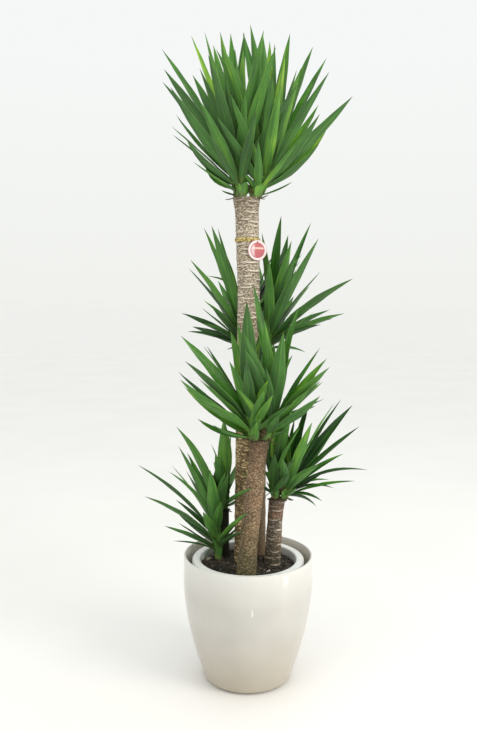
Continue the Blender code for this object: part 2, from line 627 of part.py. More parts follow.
def spiral_leaf(shoot, foot_z, number, draws, swing):
    """One leaf of the spiral, from the lowest, number 0, to the youngest at the top."""
    age = (number + 0.5) / shoot.leaves
    around = SPIRAL_START * shoot.seed + GOLDEN_ANGLE * number
    around += draws.uniform(-SPIRAL_SWING, SPIRAL_SWING) * swing
    tilt = math.radians(shoot.tilt) * (1 - age) ** TILT_EASE + YOUNGEST_TILT
    tilt *= 1 - CROWDED * max(0.0, math.cos(around - math.radians(shoot.crowd)))
    tilt += draws.uniform(-TILT_SWING, TILT_SWING) * swing
    flat = min(1.0, max(0.0, tilt - FLAT_FROM) / FLAT_SPAN)
    reach = shoot.longest * (FULL_REACH - FLAT_LOSS * flat - YOUNG_LOSS * age ** 3)
    reach *= draws.uniform(LENGTH_SPREAD, 1.0)
    out = Vector((math.cos(around), math.sin(around), 0.0))
    start = stem_axis(shoot, foot_z, shoot.bare)
    tip = start + (out * math.sin(tilt) + UP * math.cos(tilt)) * reach
    bow = reach * (UPRIGHT_BOW - FLAT_DROOP * flat)
    return leaf_on(shoot, foot_z, tip, bow, draws.uniform(-SPIRAL_TWIST, SPIRAL_TWIST))


def keep_clear():
    """Plain shapes of everything but the shoots, that no leaf may touch."""
    shapes = []
    for cane in CANES:
        rings = [circle((x, y, z), r * (1 + SCAR_DEPTH), CANE_SIDES) for x, y, z, r in cane.path]
        shapes.append(skin_rings(rings))
    rims = ((POT_SHOULDER_R, POT_SHOULDER_Z), (POT_RIM_R, POT_HEIGHT), (LINER_RIM_OUTER_R, LINER_TOP),
            (LINER_RIM_INNER_R, LINER_TOP), (LINER_RIM_INNER_R, SOIL_TOP), (0.001, SOIL_TOP + SOIL_LUMP))
    shapes.append(skin_rings([circle((0, 0, z), r, LINER_SIDES) for r, z in rims]))
    shapes.append(tag_shape(TAG_WINDOW))
    return tree_of(*joined(shapes))


def grow_leaves(feet):
    """Every leaf of every shoot, each bent clear of what is already there.

    Outline leaves of all shoots come first, then the spirals fill the space between them. A leaf
    that can't be turned clear of the other pieces is left out, and so is one that would only crowd
    its own shoot.
    """
    fixed = keep_clear()
    stems = {shoot.name: stem_shape(shoot, feet[shoot.name]) for shoot in SHOOTS}
    shapes = {name: [stem] for name, stem in stems.items()}
    trees = {name: tree_of(*stem) for name, stem in stems.items()}
    leaves = {shoot.name: [] for shoot in SHOOTS}
    jobs = [(shoot, entry, 0) for shoot in SHOOTS for entry in shoot.outline]
    for number in range(max(shoot.leaves for shoot in SHOOTS)):
        jobs += [(shoot, None, number) for shoot in SHOOTS if number < shoot.leaves]
    for job, (shoot, entry, number) in enumerate(jobs):
        draws = random.Random(1000 * shoot.seed + job)
        others = [tree for name, tree in trees.items() if name != shoot.name]
        own = tree_of(*joined(shapes[shoot.name][1:])) if len(shapes[shoot.name]) > 1 else None
        best, best_cost = None, math.inf
        for attempt in range(TRIES):
            swing = attempt / TRIES
            if entry:
                leaf = outline_leaf(shoot, feet[shoot.name], entry, draws, swing)
            else:
                leaf = spiral_leaf(shoot, feet[shoot.name], number, draws, swing)
            points, faces = blade(leaf, CLEARANCE)
            trial = tree_of(points, faces)
            if trial.overlap(fixed) or any(trial.overlap(tree) for tree in others):
                continue
            cost = attempt * TURN_COST
            if own:
                beyond_root = tree_of(points, [face for face in faces if min(face) >= 4])
                cost += BEYOND_ROOT_COST * len(beyond_root.overlap(own)) + len(trial.overlap(own))
            if cost < best_cost:
                best, best_cost = leaf, cost
            if best_cost <= attempt * TURN_COST:
                break
        if best is None or (entry is None and best_cost > MOST_CROSSINGS):
            continue
        leaves[shoot.name].append(best)
        shapes[shoot.name].append(blade(best))
        trees[shoot.name] = tree_of(*joined(shapes[shoot.name]))
    return stems, leaves


def keep_largest(thing):
    """Drops loose scraps and fills sealed hollows, which are all but the largest closed skin."""
    work = bmesh.new()
    work.from_mesh(thing.data)
    left, bodies = set(work.verts), []
    while left:
        body, edge = set(), [left.pop()]
        while edge:
            vert = edge.pop()
            body.add(vert)
            for link in vert.link_edges:
                other = link.other_vert(vert)
                if other in left:
                    left.remove(other)
                    edge.append(other)
        bodies.append(body)
    bodies.sort(key=len)
    for body in bodies[:-1]:
        print("dropped a scrap of", len(body), "points from", thing.name)
        bmesh.ops.delete(work, geom=list(body), context="VERTS")
    work.to_mesh(thing.data)
    work.free()


def main():
    clear_scene()
    make_planter()
    make_liner()
    for cane in CANES:
        make_cane(cane)
    low = SHOOTS[-1]
    stems = [(*path_point(cane.path, 0.0), CANE_FOOT) for cane in CANES]
    make_soil(stems + [(*low.foot, low.girth, LOW_SHOOT_FOOT_Z)])
    make_tie()
    tag_points, tag_faces = tag_shape(TAG_THICK)
    solid("tag", tag_points, tag_faces, material("tag_red", (0.70, 0.05, 0.08), 0.4))
    tops = {cane.name: cane.path[-1][2] + GAP for cane in CANES}
    feet = {shoot.name: tops.get(shoot.cane, LOW_SHOOT_FOOT_Z) for shoot in SHOOTS}
    stem_shapes, leaves = grow_leaves(feet)
    for shoot in SHOOTS:
        finish = material(shoot.name + "_leaf", shoot.shade, 0.45)
        stem = solid(shoot.name, *stem_shapes[shoot.name], finish, 30)
        group = bpy.data.collections.new(shoot.name + "_leaves")
        bpy.context.scene.collection.children.link(group)
        for leaf in leaves[shoot.name]:
            piece = solid("leaf", *blade(leaf), finish)
            bpy.context.collection.objects.unlink(piece)
            group.objects.link(piece)
        combine(stem, group, "UNION")
        keep_largest(stem)
    print("leaves:", {name: len(some) for name, some in leaves.items()})


main()
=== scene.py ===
# %% [markdown]
# # A potted yucca
# A tall houseplant: five sawn canes with shoots of long pointed leaves, in soil, in a grow pot, inside a
# glossy planter. The plain solids are loaded first. They give each piece its place and its size, and
# every finer piece made below stands for one of them. A model that is built round a fixed frame can't
# drift out of scale, so this comes before any looks.

# %% Load the plain solids
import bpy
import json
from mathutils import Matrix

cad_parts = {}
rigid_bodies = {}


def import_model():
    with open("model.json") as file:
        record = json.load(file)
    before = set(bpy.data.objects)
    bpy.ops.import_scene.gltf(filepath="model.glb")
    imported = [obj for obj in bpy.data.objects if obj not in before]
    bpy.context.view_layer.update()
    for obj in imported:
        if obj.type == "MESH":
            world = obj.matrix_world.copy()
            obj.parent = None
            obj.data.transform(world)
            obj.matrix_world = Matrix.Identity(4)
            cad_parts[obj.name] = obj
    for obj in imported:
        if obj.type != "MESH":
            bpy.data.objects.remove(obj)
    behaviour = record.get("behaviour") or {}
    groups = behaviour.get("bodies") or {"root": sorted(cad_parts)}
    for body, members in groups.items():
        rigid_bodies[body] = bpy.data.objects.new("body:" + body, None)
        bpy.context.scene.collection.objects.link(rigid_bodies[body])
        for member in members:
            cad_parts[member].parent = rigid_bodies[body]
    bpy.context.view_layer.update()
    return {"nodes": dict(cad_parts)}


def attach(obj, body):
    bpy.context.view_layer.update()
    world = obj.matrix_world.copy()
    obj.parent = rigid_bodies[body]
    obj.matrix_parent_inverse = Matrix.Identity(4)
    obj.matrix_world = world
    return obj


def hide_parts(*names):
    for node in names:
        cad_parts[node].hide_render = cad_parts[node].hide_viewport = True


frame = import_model()
print("solids:", sorted(frame["nodes"]))

# %% Tools from Python and Blender
import json
import math
import random
from collections import namedtuple

import bpy
import numpy as np
from mathutils import Matrix, Vector, noise
from mathutils.bvhtree import BVHTree

MM = 0.001
GAP = 0.0003
UP = Vector((0.0, 0.0, 1.0))
print("Blender", bpy.app.version_string, "works in metres, and up is", tuple(UP))

# %% [markdown]
# ## The camera
# The photograph was taken from about two metres away, a little above the middle of the plant, and
# turned down by five degrees. That is why the planter's mouth shows as an ellipse. The camera could be
# placed by eye, but a focal length and a height worked out from the planter's rim keep the leaves and
# the planter in the right proportion to each other.

# %% Place the camera
PHOTO_WIDTH = 477
SENSOR_WIDTH = 36
FOCAL_PIXELS = 720
CAMERA_PLACE = (-0.0287, -1.9225, 1.0299)
LOOK_DOWN = 5.049
LEAN = 0.267

camera_data = bpy.data.cameras.new("camera")
camera_data.sensor_fit = "HORIZONTAL"
camera_data.sensor_width = SENSOR_WIDTH
camera_data.lens = FOCAL_PIXELS / PHOTO_WIDTH * SENSOR_WIDTH
camera = bpy.data.objects.new("camera", camera_data)
bpy.context.collection.objects.link(camera)
turned_down = Matrix.Rotation(math.radians(90 - LOOK_DOWN), 4, "X")
leant = Matrix.Rotation(math.radians(LEAN), 4, "Z")
camera.matrix_world = Matrix.Translation(CAMERA_PLACE) @ turned_down @ leant
bpy.context.scene.camera = camera
print("camera lens, mm:", round(camera_data.lens, 1))

# %% [markdown]
# ## The studio
# The plant stands on a plain pale floor. One broad soft lamp on the right makes the main light, as a
# window would, and a weaker one on the left keeps the shaded side open. A small low lamp puts a point
# of shine on the planter, and a narrow one a streak. One hard lamp would be simpler, but it would draw
# a black shadow behind every leaf.

# %% Colours as a painter writes them
def tint(code):
    """An sRGB hex code as a linear colour with alpha."""
    parts = [int(code[k:k + 2], 16) / 255 for k in (1, 3, 5)]
    linear = [c / 12.92 if c <= 0.04045 else ((c + 0.055) / 1.055) ** 2.4 for c in parts]
    return (*linear, 1.0)


print("a pale wall in linear light:", [round(c, 3) for c in tint("#f3f4f1")])

# %% The lamps
Lamp = namedtuple("Lamp", "name place aim wide high power colour")
LAMPS = (
    Lamp("window_light", (2.6, -1.7, 2.1), (0.0, 0.0, 0.8), 1.6, 2.2, 70, "#fff9f2"),
    Lamp("fill_light", (-2.4, -2.2, 1.6), (0.0, 0.0, 0.7), 1.8, 1.8, 20, "#fff4e6"),
    Lamp("low_spot", (0.80, -0.44, 0.10), (0.09, -0.15, 0.28), 0.09, 0.08, 0.6, "#fff9f2"),
    Lamp("low_streak", (0.05, -0.50, 0.05), (0.01, -0.16, 0.21), 0.012, 0.06, 0.02, "#fff9f2"),
)
for lamp in LAMPS:
    data = bpy.data.lights.new(lamp.name, "AREA")
    data.shape = "RECTANGLE"
    data.size, data.size_y = lamp.wide, lamp.high
    data.energy = lamp.power
    data.color = tint(lamp.colour)[:3]
    light = bpy.data.objects.new(lamp.name, data)
    bpy.context.collection.objects.link(light)
    light.location = lamp.place
    light.rotation_euler = (Vector(lamp.aim) - Vector(lamp.place)).to_track_quat("-Z", "Y").to_euler()
    light.visible_camera = False
print("lamps:", [lamp.name for lamp in LAMPS])

# %% [markdown]
# ## Finishes are small node trees
# A real surface is never one flat colour. Each finish here starts from the principled shader and adds
# noise, ramps and bumps. One helper adds a node, sets its values and joins its inputs, which keeps
# every tree readable from top to bottom.

# %% The helper that adds a node
def add(finish, kind, inputs=None, stops=None, **settings):
    """Adds a shader node. An input given as a socket is joined, and one given as a value is set."""
    node = finish.node_tree.nodes.new("ShaderNode" + kind)
    for name, value in settings.items():
        setattr(node, name, value)
    for place, value in (inputs or {}).items():
        if isinstance(value, bpy.types.NodeSocket):
            finish.node_tree.links.new(value, node.inputs[place])
        else:
            node.inputs[place].default_value = value
    for k, (place, code) in enumerate(stops or ()):
        ramp = node.color_ramp.elements
        stop = ramp[k] if k < 2 else ramp.new(place)
        stop.position, stop.color = place, tint(code)
    return node


def new_finish(name, **sockets):
    """A material with its principled shader, and the sockets that are the same all over set on it."""
    finish = bpy.data.materials.new(name)
    finish.use_nodes = True
    shader = finish.node_tree.nodes["Principled BSDF"]
    for socket, value in sockets.items():
        shader.inputs[socket.replace("_", " ")].default_value = value
    return finish, shader


def join(finish, output, shader, socket):
    """Joins the last node of a pattern to a socket of the shader."""
    finish.node_tree.links.new(output, shader.inputs[socket])


print("kinds of shader node to choose from:", sum("ShaderNode" in kind for kind in dir(bpy.types)))

# %% [markdown]
# ## The room
# Little of the room is seen, but the gloss of the planter mirrors it. The wall is a world colour that
# grows a little lighter towards the ceiling, so its light comes softly from everywhere. The floor is
# smooth off-white paint, nearly matt, and a faint mottle keeps it from looking like paper. It reaches
# far beyond the plant, so that no edge of it shows.

# %% Pale surroundings
world = bpy.data.worlds.new("pale_room")
world.use_nodes = True
bpy.context.scene.world = world
bpy.context.scene.view_settings.view_transform = "Standard"
towards = add(world, "SeparateXYZ", {0: add(world, "TexCoord").outputs["Generated"]}).outputs
rise = add(world, "MapRange", {0: towards["Z"], 1: 0.0, 2: 0.30}).outputs[0]
wall = add(world, "ValToRGB", {0: rise}, stops=((0.0, "#f5f6f2"), (1.0, "#fafcfb")))
brightness = add(world, "MapRange", {0: towards["Z"], 1: 0.45, 2: 0.95, 3: 0.96, 4: 1.25}).outputs[0]
backdrop = world.node_tree.nodes["Background"]
join(world, wall.outputs[0], backdrop, "Color")
join(world, brightness, backdrop, "Strength")
print("the backdrop takes its colour from:", wall.bl_idname)

# %% The floor
floor_finish, floor_shader = new_finish("pale_floor", Roughness=0.5)
place = add(floor_finish, "TexCoord").outputs["Object"]
mottle = add(floor_finish, "TexNoise", {"Vector": place, "Scale": 1.5, "Detail": 3.0}).outputs[0]
pale = add(floor_finish, "ValToRGB", {0: mottle}, stops=((0.3, "#e6e5e2"), (0.7, "#eae9e6")))
join(floor_finish, pale.outputs[0], floor_shader, "Base Color")
FLOOR_HALF = 250.0
corners = [(x * FLOOR_HALF, y * FLOOR_HALF, 0) for x, y in ((-1, -1), (1, -1), (1, 1), (-1, 1))]
floor_mesh = bpy.data.meshes.new("floor")
floor_mesh.from_pydata(corners, [], [(0, 1, 2, 3)])
floor_mesh.materials.append(floor_finish)
floor = bpy.data.objects.new("floor", floor_mesh)
bpy.context.collection.objects.link(floor)
print("floor, m across:", 2 * FLOOR_HALF)

# %% [markdown]
# ## Meshes from rings
# A planter, a cane and a leaf are all rows of rings: circles for the turned pieces, flat ovals for the
# leaves. Blender has tools that spin or sweep a curve, but rings written out in code can be nudged
# point by point, which bark and leaves need, so one way of making them serves the whole plant.

# %% Rings and skins
def heading(turn):
    """A level arrow, one metre long, turned this far from the x axis."""
    return Vector((math.cos(turn), math.sin(turn), 0.0))


def even_turns(count):
    """This many directions, spread evenly once round."""
    return [2 * math.pi * k / count for k in range(count)]


def circle(centre, radius, sides):
    """A level ring of points."""
    return [Vector((centre[0] + radius * math.cos(a), centre[1] + radius * math.sin(a), centre[2]))
            for a in even_turns(sides)]


def walls(rows, sides):
    """The faces between rings that follow each other, from the first ring to the last."""
    faces = []
    for low in range(0, (rows - 1) * sides, sides):
        for j in range(sides):
            after = (j + 1) % sides
            faces.append((low + j, low + after, low + sides + after, low + sides + j))
    return faces


def skin_rings(rings):
    """Points and faces of rings of equal length, joined in order and closed at both ends."""
    sides = len(rings[0])
    points = [p for ring in rings for p in ring]
    first, last = tuple(reversed(range(sides))), tuple(range(len(points) - sides, len(points)))
    return points, [first, *walls(len(rings), sides), last]


def joined(pieces):
    """Points and faces of several pieces as one list of each."""
    points, faces = [], []
    for some_points, some_faces in pieces:
        base = len(points)
        points += some_points
        faces += [tuple(base + i for i in face) for face in some_faces]
    return points, faces


print("points on a ring of 6:", len(circle((0, 0, 0), 1.0, 6)))

# %% Pieces with finishes
def make_piece(name, points, faces, finishes, smooth_angle=40, kinds=None):
    """A mesh object with its finishes. kinds gives each face the number of its finish."""
    mesh = bpy.data.meshes.new(name)
    mesh.from_pydata([tuple(p) for p in points], [], faces)
    for finish in finishes:
        mesh.materials.append(finish)
    if kinds is not None:
        mesh.polygons.foreach_set("material_index", kinds)
    mesh.shade_smooth()
    mesh.set_sharp_from_angle(angle=math.radians(smooth_angle))
    piece = bpy.data.objects.new(name, mesh)
    bpy.context.collection.objects.link(piece)
    return piece


def stand_for(piece, node):
    """A piece takes the place of a plain solid: it rides on the plant and hides the solid."""
    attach(piece, "root")
    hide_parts(node)
    print(piece.name, "has", len(piece.data.polygons), "faces")


def keep_values(piece, name, kind, values):
    """Stores a value at every point of a piece, for its finish to read."""
    layer = piece.data.attributes.new(name, kind, "POINT")
    field = "color" if kind == "FLOAT_COLOR" else "vector"
    layer.data.foreach_set(field, np.asarray(values, dtype=np.float32).ravel())


print("pieces are linked to:", bpy.context.collection.name)

# %% [markdown]
# ## The planter
# The outer pot is injection-moulded in glossy warm-white plastic. It is widest at the shoulder, narrows
# in one soft curve to a small foot, and its rim is a thin rounded edge. A turned profile with many
# sides gives the gloss a clean curve to slide over. The outline follows the same named sizes as the
# plain solid.

# %% The planter's profile
POT_HEIGHT = 0.343
POT_SHOULDER_Z = 0.27
POT_SHOULDER_R = 0.1765
POT_RIM_R = 0.175
POT_TAPER = 0.333
POT_TAPER_POWER = 1.7
POT_FOOT_R = 0.100
POT_FOOT_ROUND = 0.020
POT_WALL = 0.0045
POT_FLOOR = 0.006
POT_CORNER = 0.008
POT_RIM_ROUND = 0.0015
PLANTER_SIDES = 160
BELLY_STEPS = 26
INSIDE_RINGS = BELLY_STEPS + 2
# The turns of a quarter round and of a half round
QUARTER_ROUND = [math.radians(90) * k / 6 for k in range(7)]
HALF_ROUND = [math.pi * k / 8 for k in range(1, 8)]


def pot_radius(z):
    """The planter's outer radius: a belly that narrows to the foot and draws in a little at the rim."""
    if z > POT_SHOULDER_Z:
        rise = (z - POT_SHOULDER_Z) / (POT_HEIGHT - POT_SHOULDER_Z)
        return POT_SHOULDER_R - (POT_SHOULDER_R - POT_RIM_R) * rise ** 2
    drop = (POT_SHOULDER_Z - z) / POT_SHOULDER_Z
    return POT_SHOULDER_R * (1 - POT_TAPER * drop ** POT_TAPER_POWER)


def planter_profile():
    """(radius, height) pairs: foot, belly, rim, inside and floor."""
    foot_r = pot_radius(POT_FOOT_ROUND)
    foot = [(POT_FOOT_R + (foot_r - POT_FOOT_R) * math.sin(t), POT_FOOT_ROUND * (1 - math.cos(t)))
            for t in QUARTER_ROUND]
    edge_z = POT_HEIGHT - POT_RIM_ROUND
    heights = [POT_FOOT_ROUND + (edge_z - POT_FOOT_ROUND) * k / BELLY_STEPS
               for k in range(1, BELLY_STEPS + 1)]
    belly = [(pot_radius(z), z) for z in heights]
    middle_r = POT_RIM_R - POT_WALL / 2
    rim = [(middle_r + POT_WALL / 2 * math.cos(t), edge_z + POT_RIM_ROUND * math.sin(t))
           for t in HALF_ROUND]
    inside = [(pot_radius(z) - POT_WALL, z) for z in reversed(heights)]
    floor_line = [(foot_r - POT_CORNER, POT_FLOOR + 1.5 * POT_CORNER),
                  (POT_FOOT_R - POT_CORNER / 2, POT_FLOOR)]
    return foot + belly + rim + inside + floor_line


planter_rings = [circle((0, 0, z), r, PLANTER_SIDES) for r, z in planter_profile()]
print("planter rings:", len(planter_rings))

# %% [markdown]
# The plastic has the soft, slightly wavy gloss of a moulding and a few fine scuffs. Towards the foot it
# turns a warmer, darker tan, a painted reflection of a warm floor, and towards the rim it is paler, painted
# light on the shoulder. An even shine would look like glass, so the roughness varies and a faint bump bends
# the reflections. Moulding waves are about 80 mm apart, and the scuffs are drawn 6 mm wide, coarser than
# real ones, so that they show. The inside has a paler finish, painted light for the light that comes
# through the thin wall.

# %% Glossy moulded plastic outside
gloss, gloss_shader = new_finish("moulded_gloss_plastic", IOR=1.49, Coat_Weight=0.25, Coat_Roughness=0.08)
place = add(gloss, "TexCoord").outputs["Object"]
height = add(gloss, "SeparateXYZ", {0: place}).outputs["Z"]
waves = add(gloss, "TexNoise", {"Vector": place, "Scale": 12.0, "Detail": 1.0}).outputs[0]
scuffs = add(gloss, "TexNoise", {"Vector": place, "Scale": 160.0, "Detail": 4.0}).outputs[0]
shade = add(gloss, "ValToRGB", {0: waves}, stops=((0.35, "#b8b6b0"), (0.65, "#bdbbb5")))
# Painted reflection: towards the foot the plastic turns a warmer, darker tan, as a warm floor would tint the
# gloss
floor_reflection_share = add(gloss, "MapRange", {0: height, 1: 0.20, 2: 0.0, 3: 0.0, 4: 0.5}).outputs[0]
floor_reflection = add(gloss, "Mix", {0: floor_reflection_share, 6: shade.outputs[0], 7: tint("#97845f")}, data_type="RGBA")
# Painted light: the shoulder and rim are painted paler, as if lit from above
lit_shoulder = add(gloss, "MapRange", {0: height, 1: 0.25, 2: 0.34, 3: 0.0, 4: 0.8}).outputs[0]
paler = add(gloss, "Mix", {0: lit_shoulder, 6: floor_reflection.outputs[2], 7: tint("#d2d2cd")}, data_type="RGBA")
join(gloss, paler.outputs[2], gloss_shader, "Base Color")
shine = add(gloss, "MapRange", {0: scuffs, 1: 0.3, 2: 0.7, 3: 0.08, 4: 0.17}).outputs[0]
join(gloss, shine, gloss_shader, "Roughness")
ripple = add(gloss, "Bump", {"Height": waves, "Strength": 0.12, "Distance": 0.002}).outputs[0]
join(gloss, ripple, gloss_shader, "Normal")
print("nodes in the gloss:", len(gloss.node_tree.nodes))

# %% The inside with painted light, and the planter as one piece
# Painted light: the inside wall and the floor are painted paler, for light that comes through the thin wall
lit_gloss, lit_shader = new_finish("moulded_gloss_inside_painted_light", IOR=1.49, Roughness=0.25)
place = add(lit_gloss, "TexCoord").outputs["Object"]
smears = add(lit_gloss, "TexNoise", {"Vector": place, "Scale": 25.0, "Detail": 4.0}).outputs[0]
glow = add(lit_gloss, "ValToRGB", {0: smears}, stops=((0.35, "#e3ddd0"), (0.65, "#efeadf")))
join(lit_gloss, glow.outputs[0], lit_shader, "Base Color")
# The inside wall and the floor take the second finish, the rest takes the first
outer_rows = len(planter_rings) - INSIDE_RINGS
kinds = [0] + [int(row >= outer_rows) for row in range(len(planter_rings) - 1)
               for _ in range(PLANTER_SIDES)] + [1]
planter = make_piece("glossy_planter", *skin_rings(planter_rings), [gloss, lit_gloss], kinds=kinds)
stand_for(planter, "planter")

# %% [markdown]
# ## The grow pot
# Inside the planter stands the plain nursery pot that the plant grew in. Only its broad rolled rim and
# the top of its inner wall can be seen. It is moulded polypropylene of a cooler white, with a satin
# shine. The potting mix has soiled it in spots about 14 mm across. Its floor has drain holes, drilled
# here with a Boolean, as they are in the solid.

# %% The grow pot's profile
SOIL_TOP = 0.308
LINER_FLOOR_Z = POT_FLOOR + GAP
LINER_TOP = 0.331
LINER_RIM_OUTER_R = 0.153
LINER_RIM_INNER_R = 0.131
LINER_RIM_DROP = 0.019
LINER_STEP_Z = SOIL_TOP + 0.012
LINER_FOOT_R = 0.088
LINER_NECK_R = 0.137
LINER_WALL = 0.003
LINER_EDGE = 0.004
LINER_RIM_EDGE = 0.3 * LINER_EDGE
LINER_ROUND = 0.005
LINER_CORNER = 0.007
GROW_POT_SIDES = 128


def liner_inner_radius(z):
    """The inner wall of the liner, a straight taper from its floor to under the rim."""
    share = (z - LINER_FLOOR_Z) / (LINER_TOP - LINER_RIM_DROP - LINER_FLOOR_Z)
    return LINER_FOOT_R + (LINER_NECK_R - LINER_FOOT_R) * min(share, 1.0) - LINER_WALL


def rolled_edge(radius, high, inwards):
    """A quarter round at the top of the rim, from its side to its top."""
    sign = -1 if inwards else 1
    return [(radius - sign * LINER_ROUND * (1 - math.cos(t)), high - LINER_ROUND * (1 - math.sin(t)))
            for t in QUARTER_ROUND]


def grow_pot_profile():
    """(radius, height) pairs: outside, rolled rim, inside and floor."""
    low, under_rim = LINER_FLOOR_Z, LINER_TOP - LINER_RIM_DROP
    outside = [(LINER_FOOT_R - LINER_EDGE, low), (LINER_FOOT_R, low + LINER_EDGE),
               (LINER_NECK_R, under_rim), (LINER_RIM_OUTER_R - LINER_RIM_EDGE, under_rim),
               (LINER_RIM_OUTER_R, under_rim + LINER_RIM_EDGE)]
    rim = rolled_edge(LINER_RIM_OUTER_R, LINER_TOP, False)
    rim += reversed(rolled_edge(LINER_RIM_INNER_R, LINER_TOP, True))
    inside = [(LINER_RIM_INNER_R, LINER_STEP_Z), (liner_inner_radius(low + LINER_CORNER), low + LINER_CORNER),
              (LINER_FOOT_R - 2 * LINER_ROUND, low + LINER_WALL)]
    return outside + rim + inside


print("grow pot profile points:", len(grow_pot_profile()))

# %% Satin nursery plastic
satin, satin_shader = new_finish("satin_nursery_plastic", IOR=1.49, Roughness=0.38)
place = add(satin, "TexCoord").outputs["Object"]
height = add(satin, "SeparateXYZ", {0: place}).outputs["Z"]
grime = add(satin, "TexNoise", {"Vector": place, "Scale": 70.0, "Detail": 5.0}).outputs[0]
cloud = add(satin, "ValToRGB", {0: grime}, stops=((0.3, "#dfe3e0"), (0.7, "#ecedea")))
near_soil = add(satin, "MapRange", {0: height, 1: LINER_STEP_Z, 2: SOIL_TOP, 3: 0.0, 4: 0.8}).outputs[0]
splash = add(satin, "Math", {0: near_soil, 1: grime}, operation="MULTIPLY").outputs[0]
soiled = add(satin, "Mix", {0: splash, 6: cloud.outputs[0], 7: tint("#4c4238")}, data_type="RGBA")
join(satin, soiled.outputs[2], satin_shader, "Base Color")
grain = add(satin, "Bump", {"Height": grime, "Strength": 0.1, "Distance": 0.001}).outputs[0]
join(satin, grain, satin_shader, "Normal")
grow_pot_rings = [circle((0, 0, z), r, GROW_POT_SIDES) for r, z in grow_pot_profile()]
grow_pot = make_piece("grow_pot", *skin_rings(grow_pot_rings), [satin])
print("grow pot rings:", len(grow_pot_rings))

# %% Drill the drain holes
DRAIN_HOLE_R = 0.006
DRAIN_CIRCLE_R = 0.055
DRAIN_HOLE_SIDES = 24
HOLES_ROUND_MIDDLE = 4
DRILL_ENDS = (LINER_FLOOR_Z - LINER_WALL, LINER_FLOOR_Z + 2 * LINER_WALL)

holes = bpy.data.collections.new("drain_holes")
bpy.context.scene.collection.children.link(holes)
centres = [(0.0, 0.0)] + [(DRAIN_CIRCLE_R * math.cos(a), DRAIN_CIRCLE_R * math.sin(a))
                          for a in even_turns(HOLES_ROUND_MIDDLE)]
for x, y in centres:
    ends = [circle((x, y, z), DRAIN_HOLE_R, DRAIN_HOLE_SIDES) for z in DRILL_ENDS]
    drill = make_piece("drill", *skin_rings(ends), [satin])
    bpy.context.collection.objects.unlink(drill)
    holes.objects.link(drill)
drilling = grow_pot.modifiers.new("drain_holes", "BOOLEAN")
drilling.operand_type, drilling.collection, drilling.solver = "COLLECTION", holes, "EXACT"
drilled = bpy.data.meshes.new_from_object(grow_pot.evaluated_get(bpy.context.evaluated_depsgraph_get()))
grow_pot.modifiers.clear()
grow_pot.data = drilled
for drill in list(holes.objects):
    bpy.data.objects.remove(drill, do_unlink=True)
bpy.data.collections.remove(holes)
stand_for(grow_pot, "liner")

# %% [markdown]
# ## The canes
# Each cane is a length of old yucca stem, sawn flat at the top. A fallen leaf leaves a crescent scar
# with a pale corky lip and a crease under it, and the scars climb the cane in a spiral, 137.5 degrees
# apart, as leaves do. A bump texture alone would leave the outline smooth, so the lips and creases are
# pushed into the mesh, and the finish reads the same pattern to colour them: the lips pale, and the
# creases dark, which is painted shade in the hollow.

# %% Where the canes stand
# path: place across and back, height and radius at each bend, in metres; swell: how much the sawn top
# swells, as a share of the radius, and the directions that it swells in, in degrees
Cane = namedtuple("Cane", "name path swell")
CANES = (
    Cane("cane_tall", ((-0.006, 0.030, 0.316, 0.0320), (-0.0035, 0.030, 0.70, 0.0315),
                       (-0.0015, 0.030, 1.05, 0.0298), (-0.0095, 0.030, 1.305, 0.0318)),
         (0.14, -176, 2)),
    Cane("cane_back", ((0.0250, 0.0905, 0.316, 0.0258), (0.0245, 0.0915, 0.60, 0.0255),
                       (0.0225, 0.090, 0.887, 0.0270)),
         (0.20, 180, 0)),
    Cane("cane_front", ((-0.0065, -0.088, 0.316, 0.0265), (0.0000, -0.086, 0.40, 0.0236),
                        (0.012, -0.075, 0.51, 0.0240), (0.0275, -0.053, 0.667, 0.0225)),
         (0.22, 180, 0)),
    Cane("cane_right", ((0.0670, 0.004, 0.316, 0.0225), (0.0727, 0.005, 0.43, 0.0204),
                        (0.0783, 0.006, 0.494, 0.0203)),
         (0.12, 180, 0)),
    Cane("cane_left", ((-0.069, 0.072, 0.316, 0.0160), (-0.069, 0.072, 0.38, 0.0150),
                       (-0.069, 0.072, 0.443, 0.0155)),
         (0.0, 0)),
)
CANE_FOOT = 0.252


def path_point(path, z):
    """Centre and radius of a cane at height z, on straight lines between its bends."""
    z = min(max(z, path[0][2]), path[-1][2])
    for a, b in zip(path, path[1:]):
        if z <= b[2]:
            share = (z - a[2]) / (b[2] - a[2])
            return [a[i] + (b[i] - a[i]) * share for i in (0, 1)] + [a[3] + (b[3] - a[3]) * share]
    return [path[-1][0], path[-1][1], path[-1][3]]


def angle_between(a, b):
    """The smaller of the two angles between two directions."""
    return abs((a - b + math.pi) % (2 * math.pi) - math.pi)


print("cane tops, m:", [cane.path[-1][2] for cane in CANES])

# %% [markdown]
# Every cane has scars of its own size, because each grew at its own pace. Under a certain height the bark
# is old, and its long scars are worn to short flecks, with many more flecks between them. The marks are
# laid on a flat grid of heights and directions, like a strip of paper that is then wrapped round the cane.

